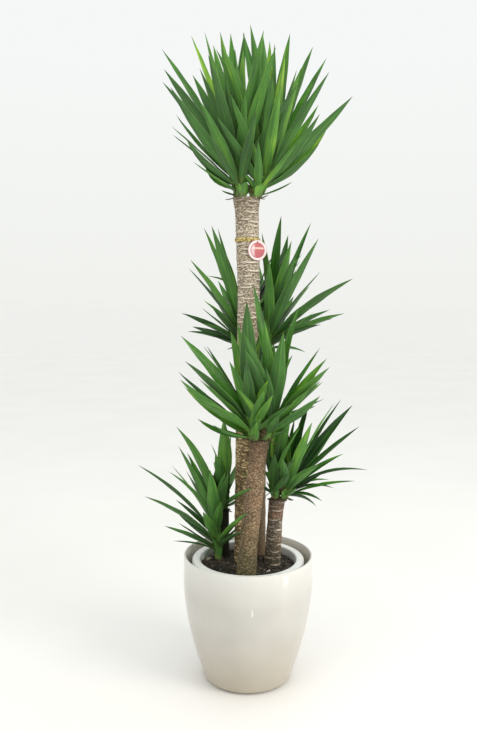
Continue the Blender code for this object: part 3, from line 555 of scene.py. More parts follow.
# %% How each cane's bark differs
# columns, row: how finely the mesh is cut; step: height from one scar to the next; half: half the angle
# that a scar takes up; sag: how far its middle hangs; lip: how thick its pale lip is; lift: how far the
# lip stands out; lip_pale: how pale it is; broken_below: under this height the scars are worn;
# flecks: how many flecks lie there in a metre
Bark = namedtuple("Bark", "columns row step half sag lip lift lip_pale seed broken_below flecks")
BARKS = {
    "cane_tall": Bark(96, 0.0012, 0.0044, 0.72, 0.003, 0.0016, 0.0012, 1.0, 31, 0.95, 1500),
    "cane_back": Bark(64, 0.0020, 0.0060, 0.60, 0.004, 0.0014, 0.0009, 0.3, 32, 0.50, 200),
    "cane_front": Bark(88, 0.0013, 0.0040, 0.45, 0.004, 0.0012, 0.0010, 0.45, 33, 0.67, 900),
    "cane_right": Bark(72, 0.0012, 0.0068, 0.85, 0.003, 0.0012, 0.0009, 1.0, 34, 0.0, 0),
    "cane_left": Bark(48, 0.0015, 0.0060, 0.60, 0.002, 0.0010, 0.0006, 0.25, 35, 0.0, 0),
}
GOLDEN_ANGLE = math.radians(137.5)
tall_height, tall_bark = CANES[0].path[-1][2] - CANE_FOOT, BARKS["cane_tall"]
print("scars on the tall cane:", int(tall_height / tall_bark.step))

# %% Draw the scars
SCAR_STRAY = 0.8
SCAR_SPREAD = (0.55, 1.35)
SCAR_TWIST = 0.5
SCAR_STRENGTH = (0.45, 1.0)
WORN = 0.35
FLECK_HALF = (0.09, 0.22)
FLECK_STRENGTH = (0.3, 1.0)
CREASE_BELOW = 1.9
CREASE_DEEP = 0.8
# A mark fades to nothing within this many lips
LIP_REACH = 4


def scar_pattern(bark, heights, turns):
    """How far the bark stands out, and how pale or dark it is, over a grid of heights and turns."""
    draws = random.Random(bark.seed)
    relief, pale, dark = (np.zeros((len(heights), len(turns))) for _ in range(3))
    scars = []
    for n in range(int((heights[-1] - heights[0]) / bark.step)):
        middle = heights[0] + (n + draws.uniform(-SCAR_STRAY, SCAR_STRAY)) * bark.step
        half = bark.half * draws.uniform(*SCAR_SPREAD) * (WORN if middle < bark.broken_below else 1.0)
        facing = n * GOLDEN_ANGLE + draws.uniform(-SCAR_TWIST, SCAR_TWIST)
        scars.append((middle, facing, half, draws.uniform(*SCAR_STRENGTH)))
    for _ in range(int(bark.flecks * max(0.0, bark.broken_below - heights[0]))):
        scars.append((draws.uniform(heights[0], bark.broken_below), draws.uniform(-math.pi, math.pi),
                      draws.uniform(*FLECK_HALF), draws.uniform(*FLECK_STRENGTH)))
    for middle, facing, half, strength in scars:
        near = np.abs(heights - middle) < LIP_REACH * bark.lip + bark.sag
        turned = (turns - facing + math.pi) % (2 * math.pi) - math.pi
        window = np.clip(1 - (turned / half) ** 2, 0, 1)
        line = middle + bark.sag * ((turned / half) ** 2 - 1)
        over = heights[near][:, None] - line[None, :]
        lip = np.exp(-(over / bark.lip) ** 2) * np.sqrt(window) * strength
        # The crease is a real hollow in the mesh; its dark colour is painted shade
        crease = np.exp(-((over + CREASE_BELOW * bark.lip) / bark.lip) ** 2) * window * strength
        relief[near] += bark.lift * (lip - CREASE_DEEP * crease)
        pale[near] = np.maximum(pale[near], lip)
        dark[near] = np.maximum(dark[near], crease)
    return relief, pale * bark.lip_pale, dark


print("flecks on the tall cane:", int(tall_bark.flecks * (tall_bark.broken_below - CANE_FOOT)))

# %% The bark's surface
SWELL_HEIGHT = 0.022
SWELL_WIDTH = 0.75
LEAST_SWELL = 0.001
BARK_LUMP = 0.0011
LUMP_SIZE = 0.016
CRACK_DEPTH = 0.0007
CRACK_SIZE = 0.0045
CRACK_SQUEEZE = 2.5
SAWN_ROUND = 0.0015


def grow_cane(cane, bark):
    """Points, faces and bark values of a cane, from its foot in the soil to its sawn top."""
    top = cane.path[-1][2]
    rows = round((top - CANE_FOOT) / bark.row)
    heights = np.linspace(CANE_FOOT, top, rows + 1)
    turns = np.array(even_turns(bark.columns))
    relief, pale, dark = scar_pattern(bark, heights, turns)
    points, values = [], []
    for row, z in enumerate(heights):
        x, y, radius = path_point(cane.path, z)
        near_top = cane.swell[0] * math.exp(-((top - z) / SWELL_HEIGHT) ** 2)
        for column, turn in enumerate(turns):
            swell = sum(math.exp(-(angle_between(turn, math.radians(a)) / SWELL_WIDTH) ** 2)
                        for a in cane.swell[1:]) if near_top > LEAST_SWELL else 0.0
            ahead = heading(turn)
            here = Vector((x, y, z)) + ahead * radius
            lump = noise.noise(here / LUMP_SIZE) * BARK_LUMP
            crack = noise.noise(Vector((here.x, here.y, CRACK_SQUEEZE * here.z)) / CRACK_SIZE)
            reach = radius * (1 + near_top * swell) + relief[row, column] + lump + crack * CRACK_DEPTH
            if row == rows:
                reach -= SAWN_ROUND
            points.append(Vector((x, y, z)) + ahead * reach)
            values.append((pale[row, column], dark[row, column], 0.5 + 0.5 * crack, 0.0))
    faces = walls(rows + 1, bark.columns)
    faces.append(tuple(reversed(range(bark.columns))))
    faces.append(tuple(range(len(points) - bark.columns, len(points))))
    return points, faces, values


print("rows on the tall cane:", round(tall_height / tall_bark.row))

# %% [markdown]
# Old yucca bark is a dry cork. Its ground colour drifts from grey to tan over a hand's width, and is
# darker near the damp soil. A net of wavy lips lies across the cane between the larger scars, each with a
# dark furrow beside it that is painted shade, and small flecks and specks cover the rest. Under each sawn
# top the bark is painted darker and plainer, painted shade under the crown of shoots. The flecks are about
# 1 mm wide on the real bark and are drawn about 4 mm wide, so that they show from two metres away.

# %% The colours of each cane's cork
# ground, drift: the two ground colours; deep: the dark of the cracks, and the painted shade of the furrows,
# the scar creases and the band under the top; lip: the pale lips; low, low_lip: the ground and the lips
# near the soil, gone at the height low_gone and full at low_full; cells: how many lips lie side by side in
# a metre; squeeze: how much closer they lie up the cane; net: how strong they show
Cork = namedtuple("Cork", "ground drift deep lip low low_lip low_gone low_full cells squeeze net")
CORKS = {
    "cane_tall": Cork("#8a7b65", "#a09178", "#463925", "#f8eedd", "#5f4f35", "#f2d6a2",
                      1.02, 0.80, 55, 4.0, 0.70),
    "cane_back": Cork("#7c664d", "#8d765c", "#3f3122", "#b8a389", "#65553c", "#b8a389",
                      0.60, 0.40, 70, 3.0, 0.30),
    "cane_front": Cork("#55422d", "#7a5d42", "#33261a", "#cbb292", "#47432a", "#b5a878",
                       0.49, 0.34, 110, 2.2, 0.45),
    "cane_right": Cork("#52463a", "#7d5c42", "#2b241b", "#f3e9d8", "#453d2c", "#e6d8c0",
                       0.42, 0.34, 90, 3.0, 0.14),
    # The left cane's dark, greyish colours are partly painted shade, for the shade it stands in among the low
    # leaves
    "cane_left": Cork("#3a3c2f", "#45463a", "#20211a", "#6b6856", "#34382a", "#6b6856",
                      0.42, 0.34, 90, 2.0, 0.2),
}
print("corks:", list(CORKS))

# %% Dry corky bark
CROWN_SHADE_BAND = 0.085


def corky_bark(name, cork, top):
    """The finish of one cane, with a darker, plainer band under its sawn top: painted shade under its shoots.
    """
    finish, shader = new_finish(name, IOR=1.45, Roughness=0.86)
    place = add(finish, "TexCoord").outputs["Object"]
    marks = add(finish, "Attribute", attribute_name="bark_marks")
    mark = add(finish, "SeparateColor", {0: marks.outputs["Color"]}).outputs
    # The colours of the ground and of the lips, which differ low down and under the top
    broad = add(finish, "TexNoise", {"Vector": place, "Scale": 22.0, "Detail": 3.0}).outputs[0]
    drifted = add(finish, "ValToRGB", {0: broad}, stops=((0.42, cork.ground), (0.58, cork.drift)))
    height = add(finish, "SeparateXYZ", {0: place}).outputs["Z"]
    aged = add(finish, "MapRange", {0: height, 1: cork.low_gone, 2: cork.low_full}).outputs[0]
    old = add(finish, "Mix", {0: aged, 6: drifted.outputs[0], 7: tint(cork.low)}, data_type="RGBA")
    # Painted shade: under the sawn top, beneath the crown of shoots, the bark is painted darker and its lips
    # fainter
    crown_shade = add(finish, "MapRange", {0: height, 1: top - CROWN_SHADE_BAND, 2: top, 3: 0.0, 4: 0.6}).outputs[0]
    deep = tint(cork.deep)
    ground = add(finish, "Mix", {0: crown_shade, 6: old.outputs[2], 7: deep}, data_type="RGBA").outputs[2]
    lips = add(finish, "Mix", {0: aged, 6: tint(cork.lip), 7: tint(cork.low_lip)}, data_type="RGBA")
    pale_lips = add(finish, "Mix", {0: crown_shade, 6: lips.outputs[2], 7: tint(cork.ground)}, data_type="RGBA")
    lip = pale_lips.outputs[2]

    # Two patterns: the wavy edges of flat cells, and fine cracks
    bent = add(finish, "TexNoise", {"Vector": place, "Scale": 60.0, "Detail": 3.0}).outputs["Color"]
    sway = add(finish, "VectorMath", {0: bent, 1: (0.012, 0.012, 0.006)}, operation="MULTIPLY").outputs[0]
    swayed = add(finish, "VectorMath", {0: place, 1: sway}, operation="ADD").outputs[0]
    squeezed = add(finish, "Mapping", {"Vector": swayed, "Scale": (1.0, 1.0, cork.squeeze)}).outputs[0]
    edge = add(finish, "TexVoronoi", {"Vector": squeezed, "Scale": cork.cells},
               feature="DISTANCE_TO_EDGE").outputs["Distance"]
    flat = add(finish, "Mapping", {"Vector": place, "Scale": (1.0, 1.0, 1.8)}).outputs[0]
    cracks = add(finish, "TexNoise", {"Vector": flat, "Scale": 170.0, "Detail": 4.0,
                                      "Roughness": 0.7}).outputs[0]

    # Where each mark shows
    # Painted shade: the dark furrow beside each lip stands in for the shade of a groove
    furrow_shade = add(finish, "MapRange", {0: edge, 1: 0.30, 2: 0.14, 3: 0.0, 4: 0.65 * cork.net}).outputs[0]
    fleck = add(finish, "MapRange", {0: cracks, 1: 0.49, 2: 0.34, 3: 0.0, 4: 0.65}).outputs[0]
    speck = add(finish, "MapRange", {0: cracks, 1: 0.55, 2: 0.70, 3: 0.0, 4: 0.55}).outputs[0]
    fine_lip = add(finish, "MapRange", {0: edge, 1: 0.15, 2: 0.06, 3: 0.0, 4: cork.net}).outputs[0]
    patchy = add(finish, "MapRange", {0: cracks, 1: 0.42, 2: 0.56}).outputs[0]
    fine_lip = add(finish, "Math", {0: fine_lip, 1: patchy}, operation="MULTIPLY").outputs[0]
    higher = add(finish, "MapRange", {0: aged, 3: 1.0, 4: 0.35}).outputs[0]
    fine_lip = add(finish, "Math", {0: fine_lip, 1: higher}, operation="MULTIPLY").outputs[0]

    # The marks lie over the ground in this order, the creases and lips of the scars last. The furrows and
    # the creases are painted shade.
    shade = ground
    for share, colour in ((furrow_shade, deep), (fleck, deep), (speck, lip), (fine_lip, lip),
                          (mark[1], deep), (mark[0], lip)):
        shade = add(finish, "Mix", {0: share, 6: shade, 7: colour}, data_type="RGBA").outputs[2]
    join(finish, shade, shader, "Base Color")
    raised = add(finish, "Math", {0: fine_lip, 1: cracks}, operation="ADD").outputs[0]
    bump = add(finish, "Bump", {"Height": raised, "Strength": 0.7, "Distance": 0.0012}).outputs[0]
    join(finish, bump, shader, "Normal")
    return finish


print("young bark under each sawn top, mm:", round(CROWN_SHADE_BAND / MM))

# %% Make the canes
for cane in CANES:
    points, faces, values = grow_cane(cane, BARKS[cane.name])
    which = cane.name.removeprefix("cane_")
    bark_finish = corky_bark("corky_bark_" + which, CORKS[cane.name], cane.path[-1][2])
    piece = make_piece("bark_of_" + cane.name, points, faces, [bark_finish], 60)
    keep_values(piece, "bark_marks", "FLOAT_COLOR", values)
    stand_for(piece, cane.name)

# %% [markdown]
# ## The soil
# The potting mix is damp peat, nearly black and quite matt, with bark chips and a few pale grains, and
# it has sunk a little below the rim. Its fibres are drawn about 4 mm apart, coarser than real ones.
# One noisy sheet would look like carpet, so the lumpy plug is strewn with separate small chips. All
# draws are seeded, so that the soil comes out the same each time.

# %% The lumpy plug
SOIL_LUMP = 0.0035
SOIL_LIFT, ROLL_SHARE, CRUMB_SHARE = 0.3, 0.5, 0.55
ROLL_SIZE = 0.035
CRUMB_SIZE = 0.007
LINER_SIDES = 24
PLUG_SIDES = 120
SOIL_RING_STEP = 0.003


def soil_wall_radius(z):
    """The soil's radius at height z, kept inside the flat sides of the plain grow pot."""
    low_z = LINER_FLOOR_Z + LINER_CORNER
    share = (z - low_z) / (LINER_STEP_Z - low_z)
    wall = liner_inner_radius(low_z) + (LINER_RIM_INNER_R - liner_inner_radius(low_z)) * share
    return wall * math.cos(math.pi / LINER_SIDES) - GAP


def soil_height(x, y):
    """The height of the soil's top, which rolls gently and crumbles finely."""
    roll = noise.noise(Vector((x, y, 0.0)) / ROLL_SIZE)
    crumb = noise.noise(Vector((x, y, 5.0)) / CRUMB_SIZE)
    return SOIL_TOP + SOIL_LUMP * (SOIL_LIFT + ROLL_SHARE * roll + CRUMB_SHARE * crumb)


plug_low = LINER_FLOOR_Z + LINER_WALL + GAP
plug_corner = LINER_FLOOR_Z + LINER_CORNER
plug_rings = [circle((0, 0, plug_low), LINER_FOOT_R - LINER_WALL - LINER_CORNER, PLUG_SIDES),
              circle((0, 0, plug_corner), liner_inner_radius(plug_corner) - GAP, PLUG_SIDES)]
plug_r = soil_wall_radius(SOIL_TOP)
while plug_r > SOIL_RING_STEP:
    ring = circle((0, 0, SOIL_TOP), plug_r, PLUG_SIDES)
    for p in ring:
        p.z = soil_height(p.x, p.y)
    plug_rings.append(ring)
    plug_r -= SOIL_RING_STEP
print("soil rings:", len(plug_rings))

# %% Damp potting mix
peat, peat_shader = new_finish("damp_potting_mix", IOR=1.4, Roughness=0.9)
place = add(peat, "TexCoord").outputs["Object"]
fibre = add(peat, "TexNoise", {"Vector": place, "Scale": 260.0, "Detail": 6.0, "Roughness": 0.75}).outputs[0]
earth = add(peat, "ValToRGB", {0: fibre}, stops=((0.3, "#191814"), (0.55, "#3a372f"), (0.75, "#7b766b")))
join(peat, earth.outputs[0], peat_shader, "Base Color")
rough = add(peat, "Bump", {"Height": fibre, "Strength": 0.9, "Distance": 0.003}).outputs[0]
join(peat, rough, peat_shader, "Normal")
soil = make_piece("soil_plug", *skin_rings(plug_rings), [peat], 80)
stand_for(soil, "soil")

# %% [markdown]
# The chips are broken bark, chopped and sieved, so no two have the same shape: matt, dark where they are
# damp and pale where the inner bark shows. Each is a box whose corners are pulled in by chance, which
# is enough for a lump of a few millimetres. Their streaks are drawn 2.5 mm wide, coarser than real ones.

# %% One broken chip
CHIP_WIDE = (0.4, 0.8)
CHIP_THICK = (0.2, 0.5)
CHIP_TIP = 0.6
CORNER_PULL = (0.55, 1.1)


def chip(place, size, draws):
    """A small broken lump: a box pulled out of true."""
    turn = Matrix.Rotation(draws.uniform(0, 2 * math.pi), 3, "Z")
    turn = turn @ Matrix.Rotation(draws.uniform(-CHIP_TIP, CHIP_TIP), 3, "X")
    half = Vector((size, size * draws.uniform(*CHIP_WIDE), size * draws.uniform(*CHIP_THICK)))
    corners = []
    for sx, sy, sz in ((-1, -1, -1), (1, -1, -1), (1, 1, -1), (-1, 1, -1),
                       (-1, -1, 1), (1, -1, 1), (1, 1, 1), (-1, 1, 1)):
        pull = draws.uniform(*CORNER_PULL)
        corners.append(place + turn @ Vector((sx * half.x, sy * half.y, sz * half.z)) * pull)
    faces = [(3, 2, 1, 0), (4, 5, 6, 7), (0, 1, 5, 4), (1, 2, 6, 5), (2, 3, 7, 6), (3, 0, 4, 7)]
    return corners, faces


print("faces of a chip:", len(chip(Vector(), MM, random.Random(0))[1]))

# %% Strew the chips
# The kinds are dark and darker chips, paler ones, pale grains, and a white one for the pebble alone
CHIP_KINDS = ("#4d453a", "#343028", "#6f6553", "#bcb5a6", "#f7f3ea")
CHIP_COUNTS = (230, 260, 90, 26)
CHIP_SIZES = ((0.0035, 0.0075), (0.0025, 0.005), (0.003, 0.006), (0.0012, 0.0024))
CHIP_LIFT = 0.3
STREWN_R = 0.126
SOIL_SEED = 77
# The lumps that stand out in the photograph: place across and back, size and kind
# The three pale grains of kind 3 by the wall on the left are painted light: they stand in for a lit patch of
# the grow pot's wall
SEEN_LUMPS = ((0.053, -0.053, 0.0068, 4), (0.058, 0.006, 0.0090, 1), (-0.108, 0.048, 0.0080, 3),
              (-0.098, 0.068, 0.0075, 3), (-0.112, 0.034, 0.0060, 3), (0.100, -0.030, 0.0050, 2))

draws = random.Random(SOIL_SEED)
strewn = list(SEEN_LUMPS)
for kind, (count, sizes) in enumerate(zip(CHIP_COUNTS, CHIP_SIZES)):
    for _ in range(count):
        radius = STREWN_R * math.sqrt(draws.uniform(0, 1))
        turn = draws.uniform(0, 2 * math.pi)
        strewn.append((radius * math.cos(turn), radius * math.sin(turn), draws.uniform(*sizes), kind))
lumps = [chip(Vector((x, y, soil_height(x, y) + CHIP_LIFT * size)), size, draws)
         for x, y, size, kind in strewn]
chip_kinds = [entry[-1] for entry, lump in zip(strewn, lumps) for face in lump[1]]
print("chips and grains:", len(strewn))

# %% Broken bark
DAMP_SHARE = 0.6
chip_finishes = []
for kind, code in enumerate(CHIP_KINDS):
    chip_finish, chip_shader = new_finish("broken_bark_" + str(kind), IOR=1.4, Roughness=0.85)
    place = add(chip_finish, "TexCoord").outputs["Object"]
    streak = add(chip_finish, "TexNoise", {"Vector": place, "Scale": 400.0, "Detail": 3.0}).outputs[0]
    deep = "#" + "".join(format(int(int(code[k:k + 2], 16) * DAMP_SHARE), "02x") for k in (1, 3, 5))
    worn = add(chip_finish, "ValToRGB", {0: streak}, stops=((0.35, deep), (0.6, code)))
    join(chip_finish, worn.outputs[0], chip_shader, "Base Color")
    chip_finishes.append(chip_finish)
chips = make_piece("bark_chips", *joined(lumps), chip_finishes, 20, chip_kinds)
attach(chips, "root")
print("chip finishes:", [finish.name for finish in chip_finishes])

# %% [markdown]
# ## The leaves follow a rule
# A yucca's leaf is a long, stiff sword. The lowest leaves of a shoot lie flattest and the youngest stand
# upright in its middle. Leaves could be placed one by one by eye, but a rule is shorter and can be kept
# the same for the solids and for the looks. Each shoot has a list of leaves that make its outline, and
# a spiral of leaves fills the space between them. A leaf that would touch another piece is turned a
# little until it is clear.

# %% The outline leaves of each shoot
# Each entry is a tip, across, back and up from the shoot's foot, and the bow of the blade, all in
# millimetres. A fifth number is the leaf's share of the usual width, where it is narrower or wider.
TOP_LEFT = (
    (-210, 20, 390, 6), (-195, -70, 310, 4), (-210, 60, 315, 4), (-175, -110, 255, -6),
    (-170, 0, 215, -10), (-140, -60, 140, -14), (-95, 20, 85, -14), (-50, -30, 15, -4),
    (-135, 60, 440, 6, 0.7), (-90, -80, 395, 4, 0.5), (-55, -50, 410, 4), (-75, 70, 420, 4),
    (-30, 50, 440, 4), (-15, -90, 355, 6), (-135, 70, 340, 6), (-105, -130, 220, 4),
    (10, 30, 435, 4), (15, -60, 150, 6), (-80, -120, 330, 6), (-40, -150, 270, 6), (10, -130, 240, 6),
    (10, -40, 375, 4), (-45, -10, 385, 4), (-110, -20, 330, 4),
)
TOP_RIGHT = (
    (-15, -60, 425, 4), (95, 70, 450, 4), (15, -60, 395, 4), (55, 90, 430, 4, 0.7),
    (30, -110, 320, 4), (150, 20, 395, 6), (195, 70, 385, 6, 0.8), (190, -60, 310, 4, 0.8),
    (105, -80, 310, 4, 0.6), (250, -40, 255, -4), (175, 70, 265, -6), (160, -110, 195, -10),
    (190, -10, 180, -16), (165, -50, 130, -14), (100, -20, 40, -6), (10, -10, 385, 4),
    (-35, 30, 435, 4), (-50, 40, 130, 6), (-40, -40, 60, 8), (60, -150, 250, 4), (-15, -140, 260, 4),
    (40, -30, 400, 4), (75, -50, 350, 4), (120, -20, 330, 4),
)
BACK_LEFT = (
    (-135, 40, 350, 8, 0.8), (-110, -30, 350, 6), (-95, 70, 355, 6, 0.5), (-170, 10, 260, 8),
    (-125, 20, 215, 60), (-130, -60, 145, 8, 0.7), (-195, -10, 110, 8), (-140, -50, 85, 8),
    (-170, 60, 70, 6), (-175, -40, 60, 10), (-100, 90, 205, 6), (-70, 10, 5, 8, 0.7),
)
BACK_RIGHT = (
    (50, 10, 380, 6), (75, 60, 335, 4), (75, -70, 305, 4), (140, 80, 370, 8, 0.6),
    (150, -30, 315, 4), (80, -110, 270, 8), (135, 60, 185, 8, 0.7), (245, -30, 205, 14),
    (195, 60, 120, 10), (220, -60, 115, 12), (150, 30, 90, 10), (155, -90, 85, 12),
    (120, -20, 5, 12, 0.6), (-5, 30, 335, 4), (200, 10, 95, 12, 0.7),
)
FRONT_LEFT = (
    (-190, -35, 275, 10), (-175, -95, 215, 8), (-205, 55, 175, -6, 0.6), (-190, -45, 165, -8),
    (-145, -115, 120, 10), (-185, 35, 140, -10, 0.7), (-125, 85, 245, 4, 0.5), (-150, 5, 55, -14),
    (-45, -35, 310, 4), (-25, -25, 365, 4, 1.25), (-15, -105, 255, 8), (-65, -85, 215, 6),
    (30, -115, 170, 8), (-105, -5, 40, -10, 0.6), (-64, 40, 285, 4, 1.25), (10, -110, 75, 12),
    (10, -60, 265, 4), (25, -40, 320, 4, 0.8),
)
FRONT_RIGHT = (
    (85, -10, 350, 8), (65, 50, 275, 4), (150, 70, 240, 4, 0.5), (155, -10, 220, 4),
    (160, -40, 195, 4), (160, 80, 145, 6, 0.7), (140, -50, 125, -6), (135, 30, 85, 12),
    (155, -30, 115, 8, 0.6), (40, -50, 290, 4, 1.25), (14, -95, 262, 6, 1.2), (-30, -50, 318, 4, 1.2),
    (-36, -20, 410, 4, 0.9), (-10, -30, 320, 4), (-5, -75, 200, 4),
)
RIGHT_INNER = (
    (25, 60, 270, 4), (0, 90, 255, 6), (-25, 60, 145, 4), (40, 0, 255, 2),
    (-40, -60, 90, 12), (-30, -60, 20, 10, 0.7), (10, -70, 180, 6), (45, -100, 130, 6),
    (-35, -30, 165, 4), (-10, -75, 140, 6),
)
RIGHT_OUTER = (
    (160, 45, 270, 6, 0.5), (130, -35, 270, 6, 0.5), (185, 15, 255, 8), (200, -25, 205, 6, 0.8),
    (150, 65, 185, 6), (155, -35, 135, 10, 0.7), (225, -25, 85, 30, 0.5), (185, -65, 65, 10, 0.5),
    (130, 45, 40, 18, 0.5), (135, -25, 35, 20, 0.5), (100, -45, 5, 14, 0.7), (90, -5, -25, 12, 0.7),
    (70, -65, 225, 4), (70, 30, 265, 4), (85, -110, 120, 8),
)
LEFT_HIGH = (
    (0, -10, 262, 2, 1.35), (20, 30, 215, 2, 0.5), (80, -225, 120, 6, 0.6),
    (-30, 30, 130, 4), (15, -50, 125, 6), (-20, -60, 175, 4),
)
LEFT_LOW = (
    (-115, -25, 405, 24), (-105, -65, 360, 6, 0.6), (-85, 5, 325, 10, 0.8), (-135, -45, 285, 18, 0.8),
    (-215, -75, 310, 16, 0.5), (-195, -95, 230, 12), (-120, -5, 195, 6, 0.6), (-145, -65, 140, 4),
    (-120, -85, 105, 6, 0.5), (30, -75, 285, 4), (40, -45, 260, 4), (-20, -95, 305, 6),
    (80, -185, 215, 6, 0.6), (70, -170, 160, 6, 0.6),
    (0, -65, 320, 4), (-35, -15, 270, 4), (15, -15, 280, 4), (10, -110, 220, 6), (-30, -60, 235, 6),
)
print("outline leaves of the top left shoot:", len(TOP_LEFT))

# %% The shoots
# cane: what the shoot stands on, or nothing where it stands in the soil; foot, lean: where its stem
# stands and how far the top leans, across and back; height, girth: of the stem; bare: the share of it
# without leaves; leaves: how many grow in the spiral; longest, widest: of a leaf; tilt: of the lowest
# leaf; crowd: the direction of the neighbour, where leaves stand steeper, both in degrees;
# hue: from old blue-green, 0, to new yellow-green, 1, set lower on the low shoots, where it
# also paints the shade that falls on them
Shoot = namedtuple("Shoot", "name cane foot lean height girth bare leaves longest widest tilt crowd "
                            "hue seed outline")
SHOOTS = (
    Shoot("shoot_top_left", "cane_tall", (-0.0265, 0.028), (-0.004, -0.002), 0.105, 0.0180, 0.06,
          32, 0.435, 0.035, 52, 0, 0.44, 11, TOP_LEFT),
    Shoot("shoot_top_right", "cane_tall", (0.0120, 0.032), (0.0445, 0.002), 0.105, 0.0180, 0.06,
          32, 0.435, 0.035, 52, 180, 0.52, 12, TOP_RIGHT),
    Shoot("shoot_back_left", "cane_back", (0.006, 0.091), (-0.030, 0.004), 0.085, 0.0135, 0.08,
          22, 0.370, 0.033, 62, 0, 0.36, 13, BACK_LEFT),
    Shoot("shoot_back_right", "cane_back", (0.038, 0.089), (0.026, -0.002), 0.085, 0.0135, 0.08,
          20, 0.390, 0.035, 62, 180, 0.40, 14, BACK_RIGHT),
    Shoot("shoot_front_left", "cane_front", (0.0135, -0.054), (-0.012, -0.004), 0.085, 0.0138, 0.08,
          24, 0.365, 0.037, 58, 10, 0.44, 15, FRONT_LEFT),
    Shoot("shoot_front_right", "cane_front", (0.0425, -0.050), (0.024, 0.0), 0.085, 0.0138, 0.08,
          22, 0.365, 0.036, 58, 190, 0.50, 16, FRONT_RIGHT),
    Shoot("shoot_right_inner", "cane_right", (0.0738, 0.005), (-0.010, 0.004), 0.065, 0.0105, 0.10,
          12, 0.270, 0.030, 62, 0, 0.30, 17, RIGHT_INNER),
    Shoot("shoot_right_outer", "cane_right", (0.0971, 0.007), (0.0164, -0.002), 0.068, 0.0110, 0.10,
          12, 0.300, 0.031, 66, 180, 0.36, 18, RIGHT_OUTER),
    Shoot("shoot_left_high", "cane_left", (-0.069, 0.072), (0.004, -0.006), 0.080, 0.0125, 0.08,
          5, 0.240, 0.032, 55, 220, 0.42, 19, LEFT_HIGH),
    Shoot("shoot_left_low", "", (-0.083, 0.045), (-0.010, 0.0), 0.190, 0.0115, 0.27,
          12, 0.320, 0.034, 60, 55, 0.36, 20, LEFT_LOW),
)
print("shoots:", [shoot.name for shoot in SHOOTS])

# %% A blade's middle line
# A leaf has a root and a tip, the bow of its middle line, its greatest width, its twist, and the level
# direction that it grows out in
Leaf = namedtuple("Leaf", "root tip bow width roll out")
BLADE_BACKWARD = 0.6


def spine(leaf, share):
    """A point on the leaf's middle line, the way its upper face looks there, and its left or right."""
    along = (leaf.tip - leaf.root).normalized()
    rise = (UP - BLADE_BACKWARD * leaf.out).normalized()
    rise = (rise - rise.dot(along) * along).normalized()
    middle = (leaf.root + leaf.tip) / 2 + rise * 2 * leaf.bow
    rest = 1 - share
    here = leaf.root * rest ** 2 + middle * 2 * share * rest + leaf.tip * share ** 2
    tangent = ((middle - leaf.root) * rest + (leaf.tip - middle) * share).normalized()
    face = (rise - rise.dot(tangent) * tangent).normalized()
    side = tangent.cross(face)
    turn = leaf.roll * math.sqrt(share)
    return here, face * math.cos(turn) + side * math.sin(turn), side * math.cos(turn) - face * math.sin(turn)


trial_leaf = Leaf(Vector(), UP, 0.0, 0.04, 0.0, heading(0.0))
print("middle of a straight leaf:", tuple(spine(trial_leaf, 0.5)[0]))

# %% A plain blade, which tests for clearance
# Each ring of a blade is its share of the length and its share of the width
LONG_BLADE = ((0.0, 0.42), (0.17, 0.74), (0.45, 1.0), (0.78, 0.58))
SHORT_BLADE = ((0.0, 0.46), (0.38, 1.0), (0.73, 0.64))
SHORT_LEAF = 0.30
BLADE_THICK = 0.0022
BLADE_ROOT_THICK = 1.2
BLADE_TIP_THIN = 0.5
BLADE_FOLD = 0.22
RING_POINTS = 4


def blade(leaf, grow=0.0):
    """A folded leaf blade as points and triangles.

    Each ring has a left edge, a midrib top, a right edge and a midrib bottom. The triangles are
    split alike on both faces. A grow over zero makes the larger blade that tests for clearance.
    """
    points = []
    shape = SHORT_BLADE if (leaf.tip - leaf.root).length < SHORT_LEAF else LONG_BLADE
    for share, wide in shape:
        here, face, side = spine(leaf, share)
        half = leaf.width * wide / 2 + grow
        thick = BLADE_THICK * (BLADE_ROOT_THICK - BLADE_TIP_THIN * share)
        lift = face * (BLADE_FOLD * half)
        points += [here - side * half + lift, here + face * grow, here + side * half + lift,
                   here - face * (thick + grow)]
    points.append(leaf.tip + (leaf.tip - leaf.root).normalized() * grow)
    last = len(points) - 1
    faces = [(0, 3, 1), (1, 3, 2)]
    for k in range(len(shape) - 1):
        low, high = RING_POINTS * k, RING_POINTS * (k + 1)
        left, top, right, under = range(low, high)
        left_on, top_on, right_on, under_on = range(high, high + RING_POINTS)
        faces += [(left, top, top_on), (left, top_on, left_on),
                  (right, top_on, top), (right, right_on, top_on),
                  (left, under_on, under), (left, left_on, under_on),
                  (right, under, under_on), (right, under_on, right_on)]
    ring = last - RING_POINTS
    faces += [(ring + j, ring + (j + 1) % RING_POINTS, last) for j in range(RING_POINTS)]
    return points, faces


print("faces of a plain blade:", len(blade(trial_leaf)[1]))

# %% Stems
STEM_SIDES = 7
STEM_THINNING = 0.45
STEM_THIN_POWER = 1.3
STEM_TIP_HEIGHT = 0.010
STEM_TIP_R = 0.0025
LOW_SHOOT_UPRIGHT = 0.2


def stem_axis(shoot, foot_z, share):
    """The middle of a shoot's green stem, which leans out low down and then rises.

    The shoot that stands in the soil is upright in its hole.
    """
    upright = 0.0 if shoot.cane else LOW_SHOOT_UPRIGHT
    ease = math.sin(max(0.0, share - upright) / (1 - upright) * math.pi / 2)
    return Vector((shoot.foot[0] + shoot.lean[0] * ease, shoot.foot[1] + shoot.lean[1] * ease,
                   foot_z + shoot.height * share))


def stem_radius(shoot, share):
    """The stem thins towards its top."""
    return shoot.girth * (1.0 - STEM_THINNING * share ** STEM_THIN_POWER)


def on_stem(shoot, foot_z, share, out, depth):
    """A point in or on the stem, at a share of its height and of its radius."""
    return stem_axis(shoot, foot_z, share) + out * stem_radius(shoot, share) * depth


